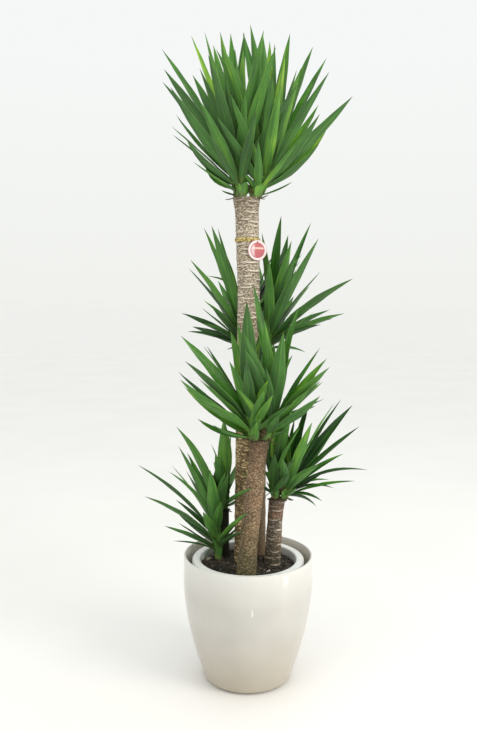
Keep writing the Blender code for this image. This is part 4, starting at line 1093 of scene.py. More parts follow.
def stem_shape(shoot, foot_z, shares, sides):
    """The green stem, level at its foot, with a ring at each share of its height and a blunt tip."""
    rings = [circle(stem_axis(shoot, foot_z, share), stem_radius(shoot, share), sides) for share in shares]
    rings.append(circle(stem_axis(shoot, foot_z, 1.0) + UP * STEM_TIP_HEIGHT, STEM_TIP_R, sides))
    return skin_rings(rings)


def plain_stem(shoot, foot_z):
    """The stem of the plain solid, that the leaves are fused to."""
    shares = (0.0, 0.5, 1.0) if shoot.cane else (0.0, LOW_SHOOT_UPRIGHT, 0.5, 1.0)
    return stem_shape(shoot, foot_z, shares, STEM_SIDES)


print("stem radius at the top of the first shoot:", round(stem_radius(SHOOTS[0], 1.0), 4))

# %% [markdown]
# A leaf can be worked out from where its tip goes: the further the tip leans out, the lower on the stem
# the leaf grows. The tips of the outline leaves come from the lists above. Those of the spiral leaves
# come from the turn of 137.5 degrees, and they reach out less the younger they are. Both have a swing,
# from 0 to 1, which lets a leaf that is in the way of another piece try other places.

# %% Where one leaf grows
HIGHEST_LEAF = 0.94
CROWN_MIDDLE = 0.23
LOWEST_TILT = math.radians(75)
TILT_POWER = 1.2
ROOT_DEPTH = 0.3
SHORT_LEAF_WIDTH = 0.35
FULL_WIDTH_LENGTH = 0.85


def leaf_on(shoot, foot_z, tip, bow, roll):
    """A leaf with this tip. The further it leans out, the lower on the stem it grows."""
    lean = tip - stem_axis(shoot, foot_z, shoot.bare + CROWN_MIDDLE)
    upright = max(0.0, 1 - lean.angle(UP) / LOWEST_TILT) ** TILT_POWER
    share = shoot.bare + (HIGHEST_LEAF - shoot.bare) * upright
    out = Vector((lean.x, lean.y, 0.0)).normalized()
    root = on_stem(shoot, foot_z, share, out, ROOT_DEPTH)
    grown = (tip - root).length / (FULL_WIDTH_LENGTH * shoot.longest)
    width = shoot.widest * min(1.0, SHORT_LEAF_WIDTH + (1 - SHORT_LEAF_WIDTH) * grown)
    return Leaf(root, tip, bow, width, roll, out)


print("a leaf leans out by at most, degrees:", round(math.degrees(LOWEST_TILT)))

# %% A leaf of the outline
VIEWPOINT = Vector((-0.029, -1.92, 1.03))
DEPTH_SWING = 0.09
TIP_SWING = 0.005
OUTLINE_TURN = (0.35, 0.85)
UNDERSIDE_FROM = math.radians(100)


def outline_leaf(shoot, foot_z, entry, draws, swing):
    """One leaf of the outline list. Its tip is let go along the line of sight and a little across it.

    The blade is twisted part of the way towards the front, so that its face shows: the upper face, or
    the underside where the upper one looks away.
    """
    across, back, up, bow, *share = entry
    tip = Vector((shoot.foot[0] + across * MM, shoot.foot[1] + back * MM, foot_z + up * MM))
    tip += (tip - VIEWPOINT).normalized() * draws.uniform(-DEPTH_SWING, DEPTH_SWING) * swing
    tip += Vector([draws.uniform(-TIP_SWING, TIP_SWING) for _ in range(3)]) * swing
    leaf = leaf_on(shoot, foot_z, tip, bow * MM, 0.0)
    _, face, side = spine(leaf, 0.5)
    turn = math.atan2(-side.y, -face.y)
    if abs(turn) > UNDERSIDE_FROM:
        turn -= math.copysign(math.pi, turn)
    width = leaf.width * (share[0] if share else 1.0)
    return leaf._replace(width=width, roll=turn * draws.uniform(*OUTLINE_TURN))


print("leaves in the outlines:", sum(len(shoot.outline) for shoot in SHOOTS))

# %% A leaf of the spiral
SPIRAL_START = math.radians(37)
SPIRAL_SWING = 0.6
SPIRAL_TWIST = 0.6
YOUNGEST_TILT = math.radians(6)
TILT_EASE = 0.8
TILT_SWING = 0.2
CROWDED = 0.45
FLAT_FROM = math.radians(30)
FLAT_SPAN = math.radians(40)
FULL_REACH = 0.96
FLAT_LOSS = 0.80
YOUNG_LOSS = 0.16
LENGTH_SPREAD = 0.88
UPRIGHT_BOW = 0.03
FLAT_DROOP = 0.07


def spiral_leaf(shoot, foot_z, number, draws, swing):
    """One leaf of the spiral, from the lowest, number 0, to the youngest at the top."""
    age = (number + 0.5) / shoot.leaves
    around = SPIRAL_START * shoot.seed + GOLDEN_ANGLE * number
    around += draws.uniform(-SPIRAL_SWING, SPIRAL_SWING) * swing
    tilt = math.radians(shoot.tilt) * (1 - age) ** TILT_EASE + YOUNGEST_TILT
    tilt *= 1 - CROWDED * max(0.0, math.cos(around - math.radians(shoot.crowd)))
    tilt += draws.uniform(-TILT_SWING, TILT_SWING) * swing
    flat = min(1.0, max(0.0, tilt - FLAT_FROM) / FLAT_SPAN)
    reach = shoot.longest * (FULL_REACH - FLAT_LOSS * flat - YOUNG_LOSS * age ** 3)
    reach *= draws.uniform(LENGTH_SPREAD, 1.0)
    out = heading(around)
    start = stem_axis(shoot, foot_z, shoot.bare)
    tip = start + (out * math.sin(tilt) + UP * math.cos(tilt)) * reach
    bow = reach * (UPRIGHT_BOW - FLAT_DROOP * flat)
    return leaf_on(shoot, foot_z, tip, bow, draws.uniform(-SPIRAL_TWIST, SPIRAL_TWIST))


print("turn from leaf to leaf, degrees:", round(math.degrees(GOLDEN_ANGLE), 1))

# %% [markdown]
# Before a leaf is kept, a slightly thicker copy of it is tested against everything that is already
# there: the canes, the rims, the soil, the tag and the other shoots. A tree of boxes round the faces
# makes that test quick. Crossing leaves of the same shoot is allowed, since they are fused into one
# solid, but each crossing counts as a cost, and the cheapest of the tries is kept.

# %% A helper for the test
def tree_of(points, faces):
    """The faces sorted into boxes, so that what overlaps is found quickly."""
    return BVHTree.FromPolygons([tuple(p) for p in points], faces)


trial_tree = tree_of(*blade(trial_leaf))
print("pairs of faces where a blade meets a copy of itself:", len(trial_tree.overlap(trial_tree)))

# %% The tag's place, and a window in front of it that stays free of leaves
TIE_Z = 1.193
TIE_THICK = 0.0016
TIE_SLACK = 0.0012
TAG_R = 0.027
TAG_CENTRE_X = 0.020
TAG_CENTRE_Z = 1.165
TAG_TURN = math.radians(22)
TAG_SIDES = 20
TAG_WINDOW = 0.12


def tag_place():
    """The way the tag faces, the way along its width, and the middle of its back, against the tie."""
    x, y, r = path_point(CANES[0].path, TIE_Z)
    facing, along = Vector((math.sin(TAG_TURN), -math.cos(TAG_TURN), 0.0)), heading(TAG_TURN)
    middle = Vector((x, y, TAG_CENTRE_Z)) + facing * (r + TIE_SLACK + TIE_THICK + GAP)
    return facing, along, middle + along * ((TAG_CENTRE_X - middle.x) / along.x)


def upright_ring(centre, along, radius, sides):
    """A ring of points that stands upright, as wide along this arrow as it is high."""
    return [centre + (along * math.cos(a) + UP * math.sin(a)) * radius for a in even_turns(sides)]


def tag_window():
    """A round bar in front of the tag, so that the camera sees it between the leaves."""
    facing, along, middle = tag_place()
    return skin_rings([upright_ring(middle + facing * depth, along, TAG_R, TAG_SIDES)
                       for depth in (0.0, TAG_WINDOW)])


print("middle of the tag, m:", [round(c, 3) for c in tag_place()[2]])

# %% What no leaf may touch
SCAR_DEPTH = 0.045
CANE_SIDES = 12


def keep_clear():
    """Plain shapes of everything but the shoots, that no leaf may touch."""
    shapes = []
    for cane in CANES:
        rings = [circle((x, y, z), r * (1 + SCAR_DEPTH), CANE_SIDES) for x, y, z, r in cane.path]
        shapes.append(skin_rings(rings))
    rims = ((POT_SHOULDER_R, POT_SHOULDER_Z), (POT_RIM_R, POT_HEIGHT), (LINER_RIM_OUTER_R, LINER_TOP),
            (LINER_RIM_INNER_R, LINER_TOP), (LINER_RIM_INNER_R, SOIL_TOP), (MM, SOIL_TOP + SOIL_LUMP))
    shapes.append(skin_rings([circle((0, 0, z), r, LINER_SIDES) for r, z in rims]))
    shapes.append(tag_window())
    return joined(shapes)


fixed_shapes = keep_clear()
print("faces that no leaf may touch:", len(fixed_shapes[1]))

# %% Every leaf, bent clear of what is already there
LOW_SHOOT_FOOT_Z = 0.284
CLEARANCE = 0.0022
TRIES = 60
TURN_COST = 0.15
BEYOND_ROOT_COST = 3
MOST_CROSSINGS = 60


def grow_leaves(feet):
    """Every leaf of every shoot, each bent clear of what is already there.

    Outline leaves of all shoots come first, then the spirals fill the space between them. A leaf
    that can't be turned clear of the other pieces is left out, and so is one that would only crowd
    its own shoot.
    """
    fixed = tree_of(*fixed_shapes)
    stems = {shoot.name: plain_stem(shoot, feet[shoot.name]) for shoot in SHOOTS}
    shapes = {name: [stem] for name, stem in stems.items()}
    trees = {name: tree_of(*stem) for name, stem in stems.items()}
    leaves = {shoot.name: [] for shoot in SHOOTS}
    jobs = [(shoot, entry, 0) for shoot in SHOOTS for entry in shoot.outline]
    for number in range(max(shoot.leaves for shoot in SHOOTS)):
        jobs += [(shoot, None, number) for shoot in SHOOTS if number < shoot.leaves]
    for job, (shoot, entry, number) in enumerate(jobs):
        draws = random.Random(1000 * shoot.seed + job)
        others = [tree for name, tree in trees.items() if name != shoot.name]
        own = tree_of(*joined(shapes[shoot.name][1:])) if len(shapes[shoot.name]) > 1 else None
        best, best_cost = None, math.inf
        for attempt in range(TRIES):
            swing = attempt / TRIES
            if entry:
                leaf = outline_leaf(shoot, feet[shoot.name], entry, draws, swing)
            else:
                leaf = spiral_leaf(shoot, feet[shoot.name], number, draws, swing)
            points, faces = blade(leaf, CLEARANCE)
            trial = tree_of(points, faces)
            if trial.overlap(fixed) or any(trial.overlap(tree) for tree in others):
                continue
            cost = attempt * TURN_COST
            if own:
                beyond_root = tree_of(points, [face for face in faces if min(face) >= RING_POINTS])
                cost += BEYOND_ROOT_COST * len(beyond_root.overlap(own)) + len(trial.overlap(own))
            if cost < best_cost:
                best, best_cost = leaf, cost
            if best_cost <= attempt * TURN_COST:
                break
        if best is None or (entry is None and best_cost > MOST_CROSSINGS):
            continue
        leaves[shoot.name].append(best)
        shapes[shoot.name].append(blade(best))
        trees[shoot.name] = tree_of(*joined(shapes[shoot.name]))
    return leaves


tops = {cane.name: cane.path[-1][2] + GAP for cane in CANES}
feet = {shoot.name: tops.get(shoot.cane, LOW_SHOOT_FOOT_Z) for shoot in SHOOTS}
leaves = grow_leaves(feet)
print("leaves:", {name: len(some) for name, some in leaves.items()})

# %% [markdown]
# ## A fine blade
# The plain solid of a leaf is a folded wedge with three or four rings and a point. The real leaf is a
# shallow channel, about a millimetre thick, with a thin margin that waves a little, widest in the
# middle and drawn out to a sharp tip. The fine blade keeps the middle line and the ring widths of the
# solid and rounds everything between them. A single sheet would be lighter, but a closed skin with a
# top and an underside shows its thickness at the edge.

# %% One fine blade
ACROSS = (-1.0, -0.92, -0.60, -0.25, 0.0, 0.25, 0.60, 0.92, 1.0)
# Once round a blade: places across it, on the top, 0, and then back on the underside, 1
ROUND_BLADE = [(u, 0.0) for u in ACROSS] + [(u, 1.0) for u in reversed(ACROSS[1:-1])]
RING_SPACING = 0.022
CHANNEL_CURVE = 1.35
FINE_THICK = 0.7
MARGIN_THIN = 0.75
WAVE_LENGTH = 0.085
WAVE_HEIGHT = 0.045
WAVE_SPREAD = (0.3, 1.2)
FEWEST_RINGS = 7


def blade_width(shape, share):
    """The share of the full width here, on a smooth curve through the plain blade's rings."""
    knots = (*shape, (1.0, 0.0))
    k = max(i for i in range(len(knots) - 1) if share >= knots[i][0])

    def slope(i):
        """How steep the curve is at a ring, from the rings on either side of it."""
        before, after = knots[max(i - 1, 0)], knots[min(i + 1, len(knots) - 1)]
        return (after[1] - before[1]) / (after[0] - before[0])

    span = knots[k + 1][0] - knots[k][0]
    t = (share - knots[k][0]) / span
    return ((2 * t ** 3 - 3 * t ** 2 + 1) * knots[k][1] + (t ** 3 - 2 * t ** 2 + t) * span * slope(k)
            + (3 * t ** 2 - 2 * t ** 3) * knots[k + 1][1] + (t ** 3 - t ** 2) * span * slope(k + 1))


def fine_blade(leaf, tone, number, draws):
    """Points, faces, tones (hue, along, across, underside) and places (across, along, number)."""
    length = (leaf.tip - leaf.root).length
    shape = SHORT_BLADE if length < SHORT_LEAF else LONG_BLADE
    rings = max(FEWEST_RINGS, round(length / RING_SPACING))
    phases = (draws.uniform(0, 2 * math.pi), draws.uniform(0, 2 * math.pi))
    high = WAVE_HEIGHT * leaf.width * draws.uniform(*WAVE_SPREAD)
    points, tones, places = [], [], []
    for k in range(rings):
        share = k / rings
        here, face, side = spine(leaf, share)
        half = leaf.width * blade_width(shape, share) / 2
        thick = FINE_THICK * BLADE_THICK * (BLADE_ROOT_THICK - BLADE_TIP_THIN * share)

        def surface(u):
            """A point on the top of the blade, between its left margin, -1, and its right, 1."""
            wave = math.sin(2 * math.pi * length / WAVE_LENGTH * share + phases[u > 0])
            lift = BLADE_FOLD * half * abs(u) ** CHANNEL_CURVE
            lift += high * wave * abs(u) ** 3 * math.sin(math.pi * share)
            return here + side * half * u + face * lift

        for u, under in ROUND_BLADE:
            points.append(surface(u) - face * thick * under * (1 - MARGIN_THIN * abs(u)))
            tones.append((tone, share, abs(u), under))
            places.append((half * u, length * share, number))
    points.append(leaf.tip)
    tones.append((tone, 1.0, 0.0, 0.0))
    places.append((0.0, length, number))
    count = len(ROUND_BLADE)
    faces = [tuple(reversed(range(count))), *walls(rings, count)]
    last = len(points) - 1
    faces += [(last - count + j, last - count + (j + 1) % count, last) for j in range(count)]
    return points, faces, tones, places


print("width at the middle of a blade:", round(blade_width(LONG_BLADE, 0.5), 2))

# %% [markdown]
# Young leaves in the heart of a shoot are a light yellow-green, full-grown ones a mid green, and the
# oldest a darker blue-green. The low shoots are set darker still, painted shade under the crowns, and a
# few upright leaves are painted a bright yellow-green, painted light for sun shining through them. The
# foot of a blade is pale, its margins are a thin light line, a pale line down its middle is painted sheen
# along the fold, its tip dries to a brown point, and its underside is duller and greyer. The parallel
# veins are about 1 mm apart and are drawn about 3 mm apart so that they show. A painted image could hold
# all this, but values stored on the mesh and read by the shader stay sharp at any size.

# %% A waxy living leaf
def waxy_leaf(name):
    """The leaf's finish, which reads its hue, and where each point lies on it, from the mesh."""
    finish, shader = new_finish(name, IOR=1.45, Specular_IOR_Level=0.35)
    tones = add(finish, "Attribute", attribute_name="leaf_tone")
    tone = add(finish, "SeparateColor", {0: tones.outputs["Color"]}).outputs
    under = tones.outputs["Alpha"]
    spot = add(finish, "Attribute", attribute_name="leaf_place").outputs["Vector"]
    stretched = add(finish, "Mapping", {"Vector": spot, "Scale": (330.0, 9.0, 3.7)}).outputs[0]
    veins = add(finish, "TexNoise", {"Vector": stretched, "Scale": 1.0, "Detail": 3.0}).outputs[0]
    blotch = add(finish, "Mapping", {"Vector": spot, "Scale": (40.0, 14.0, 5.1)}).outputs[0]
    patches = add(finish, "TexNoise", {"Vector": blotch, "Scale": 1.0, "Detail": 2.0}).outputs[0]
    shifted = add(finish, "MapRange", {0: patches, 1: 0.3, 2: 0.7, 3: -0.13, 4: 0.13}).outputs[0]
    streaked = add(finish, "MapRange", {0: veins, 1: 0.3, 2: 0.7, 3: -0.20, 4: 0.20}).outputs[0]
    hue = add(finish, "Math", {0: tone[0], 1: shifted}, operation="ADD").outputs[0]
    hue = add(finish, "Math", {0: hue, 1: streaked}, operation="ADD").outputs[0]
    green = add(finish, "ValToRGB", {0: hue}, stops=(
        (0.0, "#1b381a"), (0.25, "#27521b"), (0.5, "#39701f"), (0.75, "#588f27"), (1.0, "#94bd34")))
    pale_under = add(finish, "Mix", {0: 0.25, 6: green.outputs[0], 7: tint("#5d8250")}, data_type="RGBA")
    sided = add(finish, "Mix", {0: under, 6: green.outputs[0], 7: pale_under.outputs[2]}, data_type="RGBA")
    shade = sided.outputs[2]
    # Light margin, pale middle line (painted sheen along the fold), pale foot and dry tip: what each
    # follows, from where to where, and how strong
    for place, start, full, most, code in (
            (tone[2], 0.92, 1.0, 0.45, "#93a970"), (tone[2], 0.14, 0.0, 0.18, "#7c9f4a"),
            (tone[1], 0.16, 0.0, 0.55, "#8a9845"), (tone[1], 0.965, 0.99, 0.9, "#5c4630")):
        share = add(finish, "MapRange", {0: place, 1: start, 2: full, 3: 0.0, 4: most}).outputs[0]
        shade = add(finish, "Mix", {0: share, 6: shade, 7: tint(code)}, data_type="RGBA").outputs[2]
    join(finish, shade, shader, "Base Color")
    shine = add(finish, "MapRange", {0: under, 1: 0.0, 2: 1.0, 3: 0.38, 4: 0.55}).outputs[0]
    join(finish, shine, shader, "Roughness")
    ribs = add(finish, "Bump", {"Height": veins, "Strength": 0.35, "Distance": 0.0006}).outputs[0]
    join(finish, ribs, shader, "Normal")
    return finish


leaf_finish = waxy_leaf("waxy_yucca_leaf")
print("nodes in the leaf finish:", len(leaf_finish.node_tree.nodes))

# %% Green stem and dry husk
def soft_stem(name):
    """The green stem, with fibres that run up it."""
    finish, shader = new_finish(name, IOR=1.45, Roughness=0.6)
    place = add(finish, "TexCoord").outputs["Object"]
    drawn = add(finish, "Mapping", {"Vector": place, "Scale": (1.0, 1.0, 0.12)}).outputs[0]
    fibres = add(finish, "TexNoise", {"Vector": drawn, "Scale": 240.0, "Detail": 3.0}).outputs[0]
    fresh = add(finish, "ValToRGB", {0: fibres}, stops=((0.3, "#3c4e22"), (0.5, "#4d6a2c"), (0.7, "#708244")))
    join(finish, fresh.outputs[0], shader, "Base Color")
    ridges = add(finish, "Bump", {"Height": fibres, "Strength": 0.5, "Distance": 0.001}).outputs[0]
    join(finish, ridges, shader, "Normal")
    return finish


def dry_husk(name):
    """Dead leaf, dried to a matt brown paper with dark fibres."""
    finish, shader = new_finish(name, IOR=1.4, Roughness=0.8)
    place = add(finish, "TexCoord").outputs["Object"]
    fibre = add(finish, "TexNoise", {"Vector": place, "Scale": 240.0, "Detail": 4.0}).outputs[0]
    brown = add(finish, "ValToRGB", {0: fibre}, stops=((0.3, "#353020"), (0.55, "#5f5537"), (0.8, "#8f8158")))
    join(finish, brown.outputs[0], shader, "Base Color")
    return finish


stem_finish = soft_stem("green_leaf_stem")
husk_finish = dry_husk("dried_leaf_husk")
print("finishes under the leaves:", stem_finish.name, husk_finish.name)

# %% [markdown]
# A stem hardly shows, because the feet of its leaves wrap it like scales. Where old leaves have been
# pulled off, short brown husks are left, most of them in the fork between two shoots. All of them are
# blades too, only short and wide, so the same rule makes them.

# %% The husks of a shoot
HUSKS = 7
HUSK_BAND = (0.04, 0.5)
HUSK_SEAT = 0.8
HUSK_LENGTH = (0.012, 0.030)
HUSK_RISE = (-0.6, 0.5)
HUSK_SAG = 0.1
HUSK_TWIST = 0.5
HUSK_WIDTH = 0.009
HUSK_SEED = 500
FORK_HUSKS = 14
FORK_SPREAD = 0.9
FORK_BAND = (0.02, 0.30)
FORK_REACH = (0.002, 0.014)
FORK_RISE = (0.010, 0.034)
FORK_TWIST = 0.6
FORK_WIDTH = 1.4 * HUSK_WIDTH


def husk_leaves(shoot, foot_z):
    """Short dry remains of leaves round the foot of the stem."""
    draws = random.Random(HUSK_SEED + shoot.seed)
    husks = []
    for k in range(HUSKS):
        out = heading(GOLDEN_ANGLE * k + shoot.seed)
        root = on_stem(shoot, foot_z, draws.uniform(*HUSK_BAND) * shoot.bare, out, HUSK_SEAT)
        reach = draws.uniform(*HUSK_LENGTH)
        tip = root + out * reach + UP * reach * draws.uniform(*HUSK_RISE)
        roll = draws.uniform(-HUSK_TWIST, HUSK_TWIST)
        husks.append(Leaf(root, tip, -HUSK_SAG * reach, HUSK_WIDTH, roll, out))
    for _ in range(FORK_HUSKS if shoot.cane else 0):
        out = heading(math.radians(shoot.crowd) + draws.uniform(-FORK_SPREAD, FORK_SPREAD))
        root = on_stem(shoot, foot_z, draws.uniform(*FORK_BAND), out, HUSK_SEAT)
        tip = root + out * draws.uniform(*FORK_REACH) + UP * draws.uniform(*FORK_RISE)
        husks.append(Leaf(root, tip, MM, FORK_WIDTH, draws.uniform(-FORK_TWIST, FORK_TWIST), out))
    return husks


print("husks of the first shoot:", len(husk_leaves(SHOOTS[0], feet[SHOOTS[0].name])))

# %% The leaf feet of a shoot
FOOT_SPACING = 0.0034
FOOT_TOP = 0.78
LOW_SHOOT_FEET_FROM = 0.5
FOOT_SEAT = 0.86
FOOT_LENGTH = (0.030, 0.055)
FOOT_OUT = (0.05, 0.28)
FOOT_BOW = 0.06
FOOT_TWIST = 0.3
FOOT_WIDTH = 2.1
FOOT_SEED = 700


def leaf_feet(shoot, foot_z):
    """Short leaf feet that stand up the stem like scales, each over the one above it."""
    draws = random.Random(FOOT_SEED + shoot.seed)
    lowest = 0.0 if shoot.cane else LOW_SHOOT_FEET_FROM * shoot.bare
    count = round(shoot.height * (FOOT_TOP - lowest) / FOOT_SPACING)
    scales = []
    for k in range(count):
        share = lowest + (FOOT_TOP - lowest) * k / count
        out = heading(GOLDEN_ANGLE * k + 2.0 * shoot.seed)
        radius = stem_radius(shoot, share)
        root = on_stem(shoot, foot_z, share, out, FOOT_SEAT)
        high = draws.uniform(*FOOT_LENGTH)
        tip = stem_axis(shoot, foot_z, min(1.0, share + high / shoot.height))
        tip += out * (radius + high * draws.uniform(*FOOT_OUT))
        roll = draws.uniform(-FOOT_TWIST, FOOT_TWIST)
        scales.append(Leaf(root, tip, FOOT_BOW * high, FOOT_WIDTH * radius, roll, out))
    return scales


print("leaf feet of the first shoot:", len(leaf_feet(SHOOTS[0], feet[SHOOTS[0].name])))

# %% The hue of a leaf
HUE_SPREAD = 0.23
YOUNG_GLOW = 0.16
# Painted light: a few upright leaves take a bright yellow-green, for sun shining through them
SHINE_THROUGH_CHANCE = 0.14
SHINE_THROUGH_UPRIGHT = 0.72
SHINE_THROUGH_HUE = 0.84
FOOT_GLOW = 0.25


def leaf_hue(shoot, leaf, draws):
    """Where a leaf stands between old blue-green, 0, and new yellow-green, 1, with its shoot's painted
    shade. A few upright leaves take a bright hue, painted light for sun shining through them.
    """
    upright = 1 - (leaf.tip - leaf.root).angle(UP) / LOWEST_TILT
    hue = shoot.hue + YOUNG_GLOW * (upright - 0.5) + draws.uniform(-HUE_SPREAD, HUE_SPREAD)
    return SHINE_THROUGH_HUE if draws.random() < SHINE_THROUGH_CHANCE and upright > SHINE_THROUGH_UPRIGHT else hue


def foot_hue(shoot, leaf, draws):
    """A leaf foot has the hue of its shoot, or is a little yellower."""
    return shoot.hue + draws.uniform(0.0, FOOT_GLOW)


print("hues of the shoots:", [shoot.hue for shoot in SHOOTS])

# %% Dress every shoot
FINE_STEM_SIDES = 28
FINE_STEM_STEPS = 22
STEM_SHARES = [k / FINE_STEM_STEPS for k in range(FINE_STEM_STEPS + 1)]
DRESS_SEED = 9000
STEM_TONE = (0.5, 0.1, 0.0, 0.0)
HUSK_HUE = 0.5
# A dry strip of leaf that lies at the wall of the grow pot, beside the shoot that has no cane
FALLEN_LEAF = Leaf(Vector((-0.121, 0.021, 0.319)), Vector((-0.096, 0.079, 0.336)), 0.002, 0.0095, 0.0,
                   Vector((0.75, -0.6, 0.3)))
FALLEN_HUE = 0.12


def dress_shoot(shoot):
    """One piece with all the leaves of a shoot, its stem and its husks."""
    draws = random.Random(DRESS_SEED + shoot.seed)
    foot_z = feet[shoot.name]
    stem = stem_shape(shoot, foot_z, STEM_SHARES, FINE_STEM_SIDES)
    parts = [(*stem, [STEM_TONE] * len(stem[0]), [tuple(p) for p in stem[0]])]
    kinds = [1] * len(stem[1])
    # Each blade has its number, what gives its hue, or the hue itself, and which finish it takes
    blades = [(leaf, number, leaf_hue, 0) for number, leaf in enumerate(leaves[shoot.name])]
    blades += [(leaf, 100 + number, foot_hue, 0) for number, leaf in enumerate(leaf_feet(shoot, foot_z))]
    blades += [(leaf, number, HUSK_HUE, 2) for number, leaf in enumerate(husk_leaves(shoot, foot_z))]
    if not shoot.cane:
        blades.append((FALLEN_LEAF, 0, FALLEN_HUE, 0))
    for leaf, number, hue, kind in blades:
        hue = hue(shoot, leaf, draws) if callable(hue) else hue
        parts.append(fine_blade(leaf, hue, number, draws))
        kinds += [kind] * len(parts[-1][1])
    piece = make_piece("leaves_of_" + shoot.name, *joined([part[:2] for part in parts]),
                       [leaf_finish, stem_finish, husk_finish], 50, kinds)
    keep_values(piece, "leaf_tone", "FLOAT_COLOR", [tone for part in parts for tone in part[2]])
    keep_values(piece, "leaf_place", "FLOAT_VECTOR", [place for part in parts for place in part[3]])
    return piece


for shoot in SHOOTS:
    stand_for(dress_shoot(shoot), shoot.name)

# %% [markdown]
# ## The tie and the tag
# A band of yellow raffia is wound round the tall cane and holds a round card tag. The raffia is a flat
# dry fibre, so three strands are plaited: each swings up and down and in and out in turn, and they
# pass over and under each other. The tag is a thin card disc with a hole for its loop. Its print is
# only plain shapes: a pink rim, a white border, a red field and a pale band, and the red field is
# painted paler on its left side, a painted sheen.

# %% Plait the raffia
STRANDS = 3
PLAIT_TURNS = 7
STRAND_STEPS = 210
STRAND_WIDE = 0.0017
STRAND_THICK = 0.0006
STRAND_SIDES = 8
PLAIT_DEEP = 0.0008
PLAIT_HIGH = 0.0036
tie_x, tie_y, tie_r = path_point(CANES[0].path, TIE_Z)
plait_r = tie_r + TIE_SLACK + TIE_THICK / 2


def hoop(rings):
    """Points and faces of rings that follow each other round a hoop, the last joined to the first."""
    sides = len(rings[0])
    faces = []
    for k in range(len(rings)):
        here, there = k * sides, (k + 1) % len(rings) * sides
        for j in range(sides):
            after = (j + 1) % sides
            faces.append((here + j, there + j, there + after, here + after))
    return [p for ring in rings for p in ring], faces


def strand(number):
    """A closed flat strand that weaves with the others round the cane."""
    rings = []
    for turn in even_turns(STRAND_STEPS):
        phase = PLAIT_TURNS * turn + 2 * math.pi * number / STRANDS
        ahead = heading(turn)
        radius = plait_r + PLAIT_DEEP * math.sin(2 * phase)
        middle = Vector((tie_x, tie_y, TIE_Z + PLAIT_HIGH * math.sin(phase))) + ahead * radius
        rings.append([middle + ahead * STRAND_THICK * math.cos(a) + UP * STRAND_WIDE * math.sin(a)
                      for a in even_turns(STRAND_SIDES)])
    return hoop(rings)


print("faces of a strand:", len(strand(0)[1]))

# %% Dry yellow raffia
raffia, raffia_shader = new_finish("dry_yellow_raffia", IOR=1.45, Roughness=0.6)
place = add(raffia, "TexCoord").outputs["Object"]
fibres = add(raffia, "Mapping", {"Vector": place, "Scale": (1.0, 1.0, 3.0)}).outputs[0]
fibres = add(raffia, "TexNoise", {"Vector": fibres, "Scale": 150.0, "Detail": 3.0}).outputs[0]
straw = add(raffia, "ValToRGB", {0: fibres}, stops=((0.36, "#57471f"), (0.47, "#b59e4c"), (0.68, "#ecdea2")))
join(raffia, straw.outputs[0], raffia_shader, "Base Color")
tie = make_piece("raffia_tie", *joined([strand(k) for k in range(STRANDS)]), [raffia], 60)
stand_for(tie, "tie")

# %% The round card
TAG_THICK = 0.0010
BEVEL = 0.15 * TAG_THICK
CARD_SIDES = 96
CARD_HOLE_R = 0.0022
CARD_HOLE_UP = 0.0212
facing, along, card_middle = tag_place()


def card_ring(centre_up, radius, depth):
    """A ring of the card, this far over its middle and in front of its back."""
    return upright_ring(card_middle + facing * depth + UP * centre_up, along, radius, CARD_SIDES)


card_rings = [card_ring(CARD_HOLE_UP, CARD_HOLE_R, TAG_THICK), card_ring(0.0, TAG_R - BEVEL, TAG_THICK),
              card_ring(0.0, TAG_R, TAG_THICK - BEVEL), card_ring(0.0, TAG_R, BEVEL),
              card_ring(0.0, TAG_R - BEVEL, 0.0), card_ring(CARD_HOLE_UP, CARD_HOLE_R, 0.0)]
card_points, card_faces = hoop(card_rings)
print("card points:", len(card_points))

# %% [markdown]
# The tag is coated board, printed and die-cut. Its ink lies flat and has a light satin shine. Each point
# of the mesh knows its place on the card, as a share of the radius, so the print is drawn by measuring
# how far a point is from the middle, and how high it is. The board's pulp shows as a faint mottle.

# %% Printed card
RIM_FROM = 0.95
BORDER_FROM = 0.76
LINE_AT, LINE_HALF = 0.72, 0.04
BAND_UP = 0.20

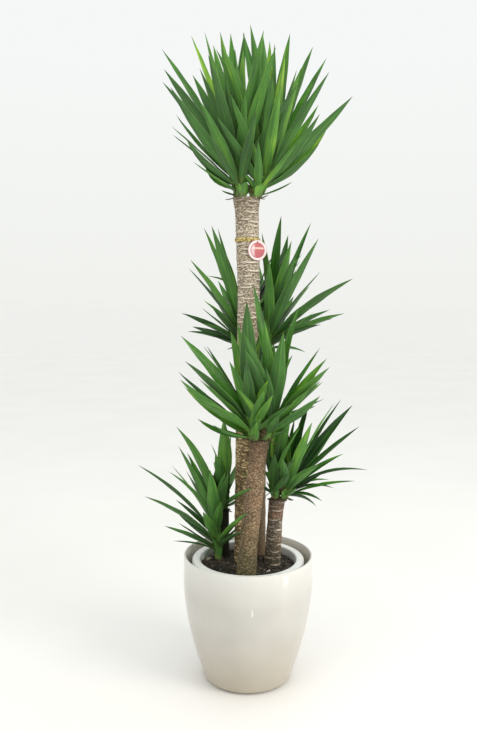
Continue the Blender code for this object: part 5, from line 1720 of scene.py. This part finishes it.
card, card_shader = new_finish("printed_card", IOR=1.5, Roughness=0.35)
spot = add(card, "Attribute", attribute_name="card_place").outputs["Vector"]
axes = add(card, "SeparateXYZ", {0: spot}).outputs
flat_spot = add(card, "CombineXYZ", {0: axes[0], 1: axes[1]}).outputs[0]
out = add(card, "VectorMath", {0: flat_spot}, operation="LENGTH").outputs["Value"]
border = add(card, "Math", {0: out, 1: BORDER_FROM}, operation="GREATER_THAN").outputs[0]
rim = add(card, "Math", {0: out, 1: RIM_FROM}, operation="GREATER_THAN").outputs[0]
ringed = add(card, "Math", {0: out, 1: LINE_AT, 2: LINE_HALF}, operation="COMPARE").outputs[0]
pulp = add(card, "TexNoise", {"Vector": spot, "Scale": 6.0, "Detail": 4.0}).outputs[0]
red = add(card, "ValToRGB", {0: pulp}, stops=((0.3, "#a13a42"), (0.7, "#b44e55")))
# The pale left side of the red field is a painted sheen
left = add(card, "MapRange", {0: axes[0], 1: -0.22, 2: -0.42, 3: 0.0, 4: 0.8}).outputs[0]
rise = add(card, "Math", {0: axes[1], 1: BAND_UP}, operation="SUBTRACT").outputs[0]
rise = add(card, "Math", {0: rise}, operation="ABSOLUTE").outputs[0]
band = add(card, "MapRange", {0: rise, 1: 0.11, 2: 0.07, 3: 0.0, 4: 0.75}).outputs[0]
back = add(card, "Math", {0: axes[2], 1: 0.5}, operation="LESS_THAN").outputs[0]
# Over the red field: its pale side (painted sheen), the pale band, the red line, the border, the rim and the
# bare back
ink = red.outputs[0]
for share, code in ((left, "#cfb9bf"), (band, "#d9c7b6"), (ringed, "#a13a42"), (border, "#d6cfce"),
                    (rim, "#c08a8d"), (back, "#cfc8bf")):
    ink = add(card, "Mix", {0: share, 6: ink, 7: tint(code)}, data_type="RGBA").outputs[2]
join(card, ink, card_shader, "Base Color")
tag = make_piece("card_tag", card_points, card_faces, [card], 30)
card_places = [((p - card_middle).dot(along) / TAG_R, (p - card_middle).dot(UP) / TAG_R,
                (p - card_middle).dot(facing) / TAG_THICK) for p in card_points]
keep_values(tag, "card_place", "FLOAT_VECTOR", card_places)
stand_for(tag, "tag")

# %% [markdown]
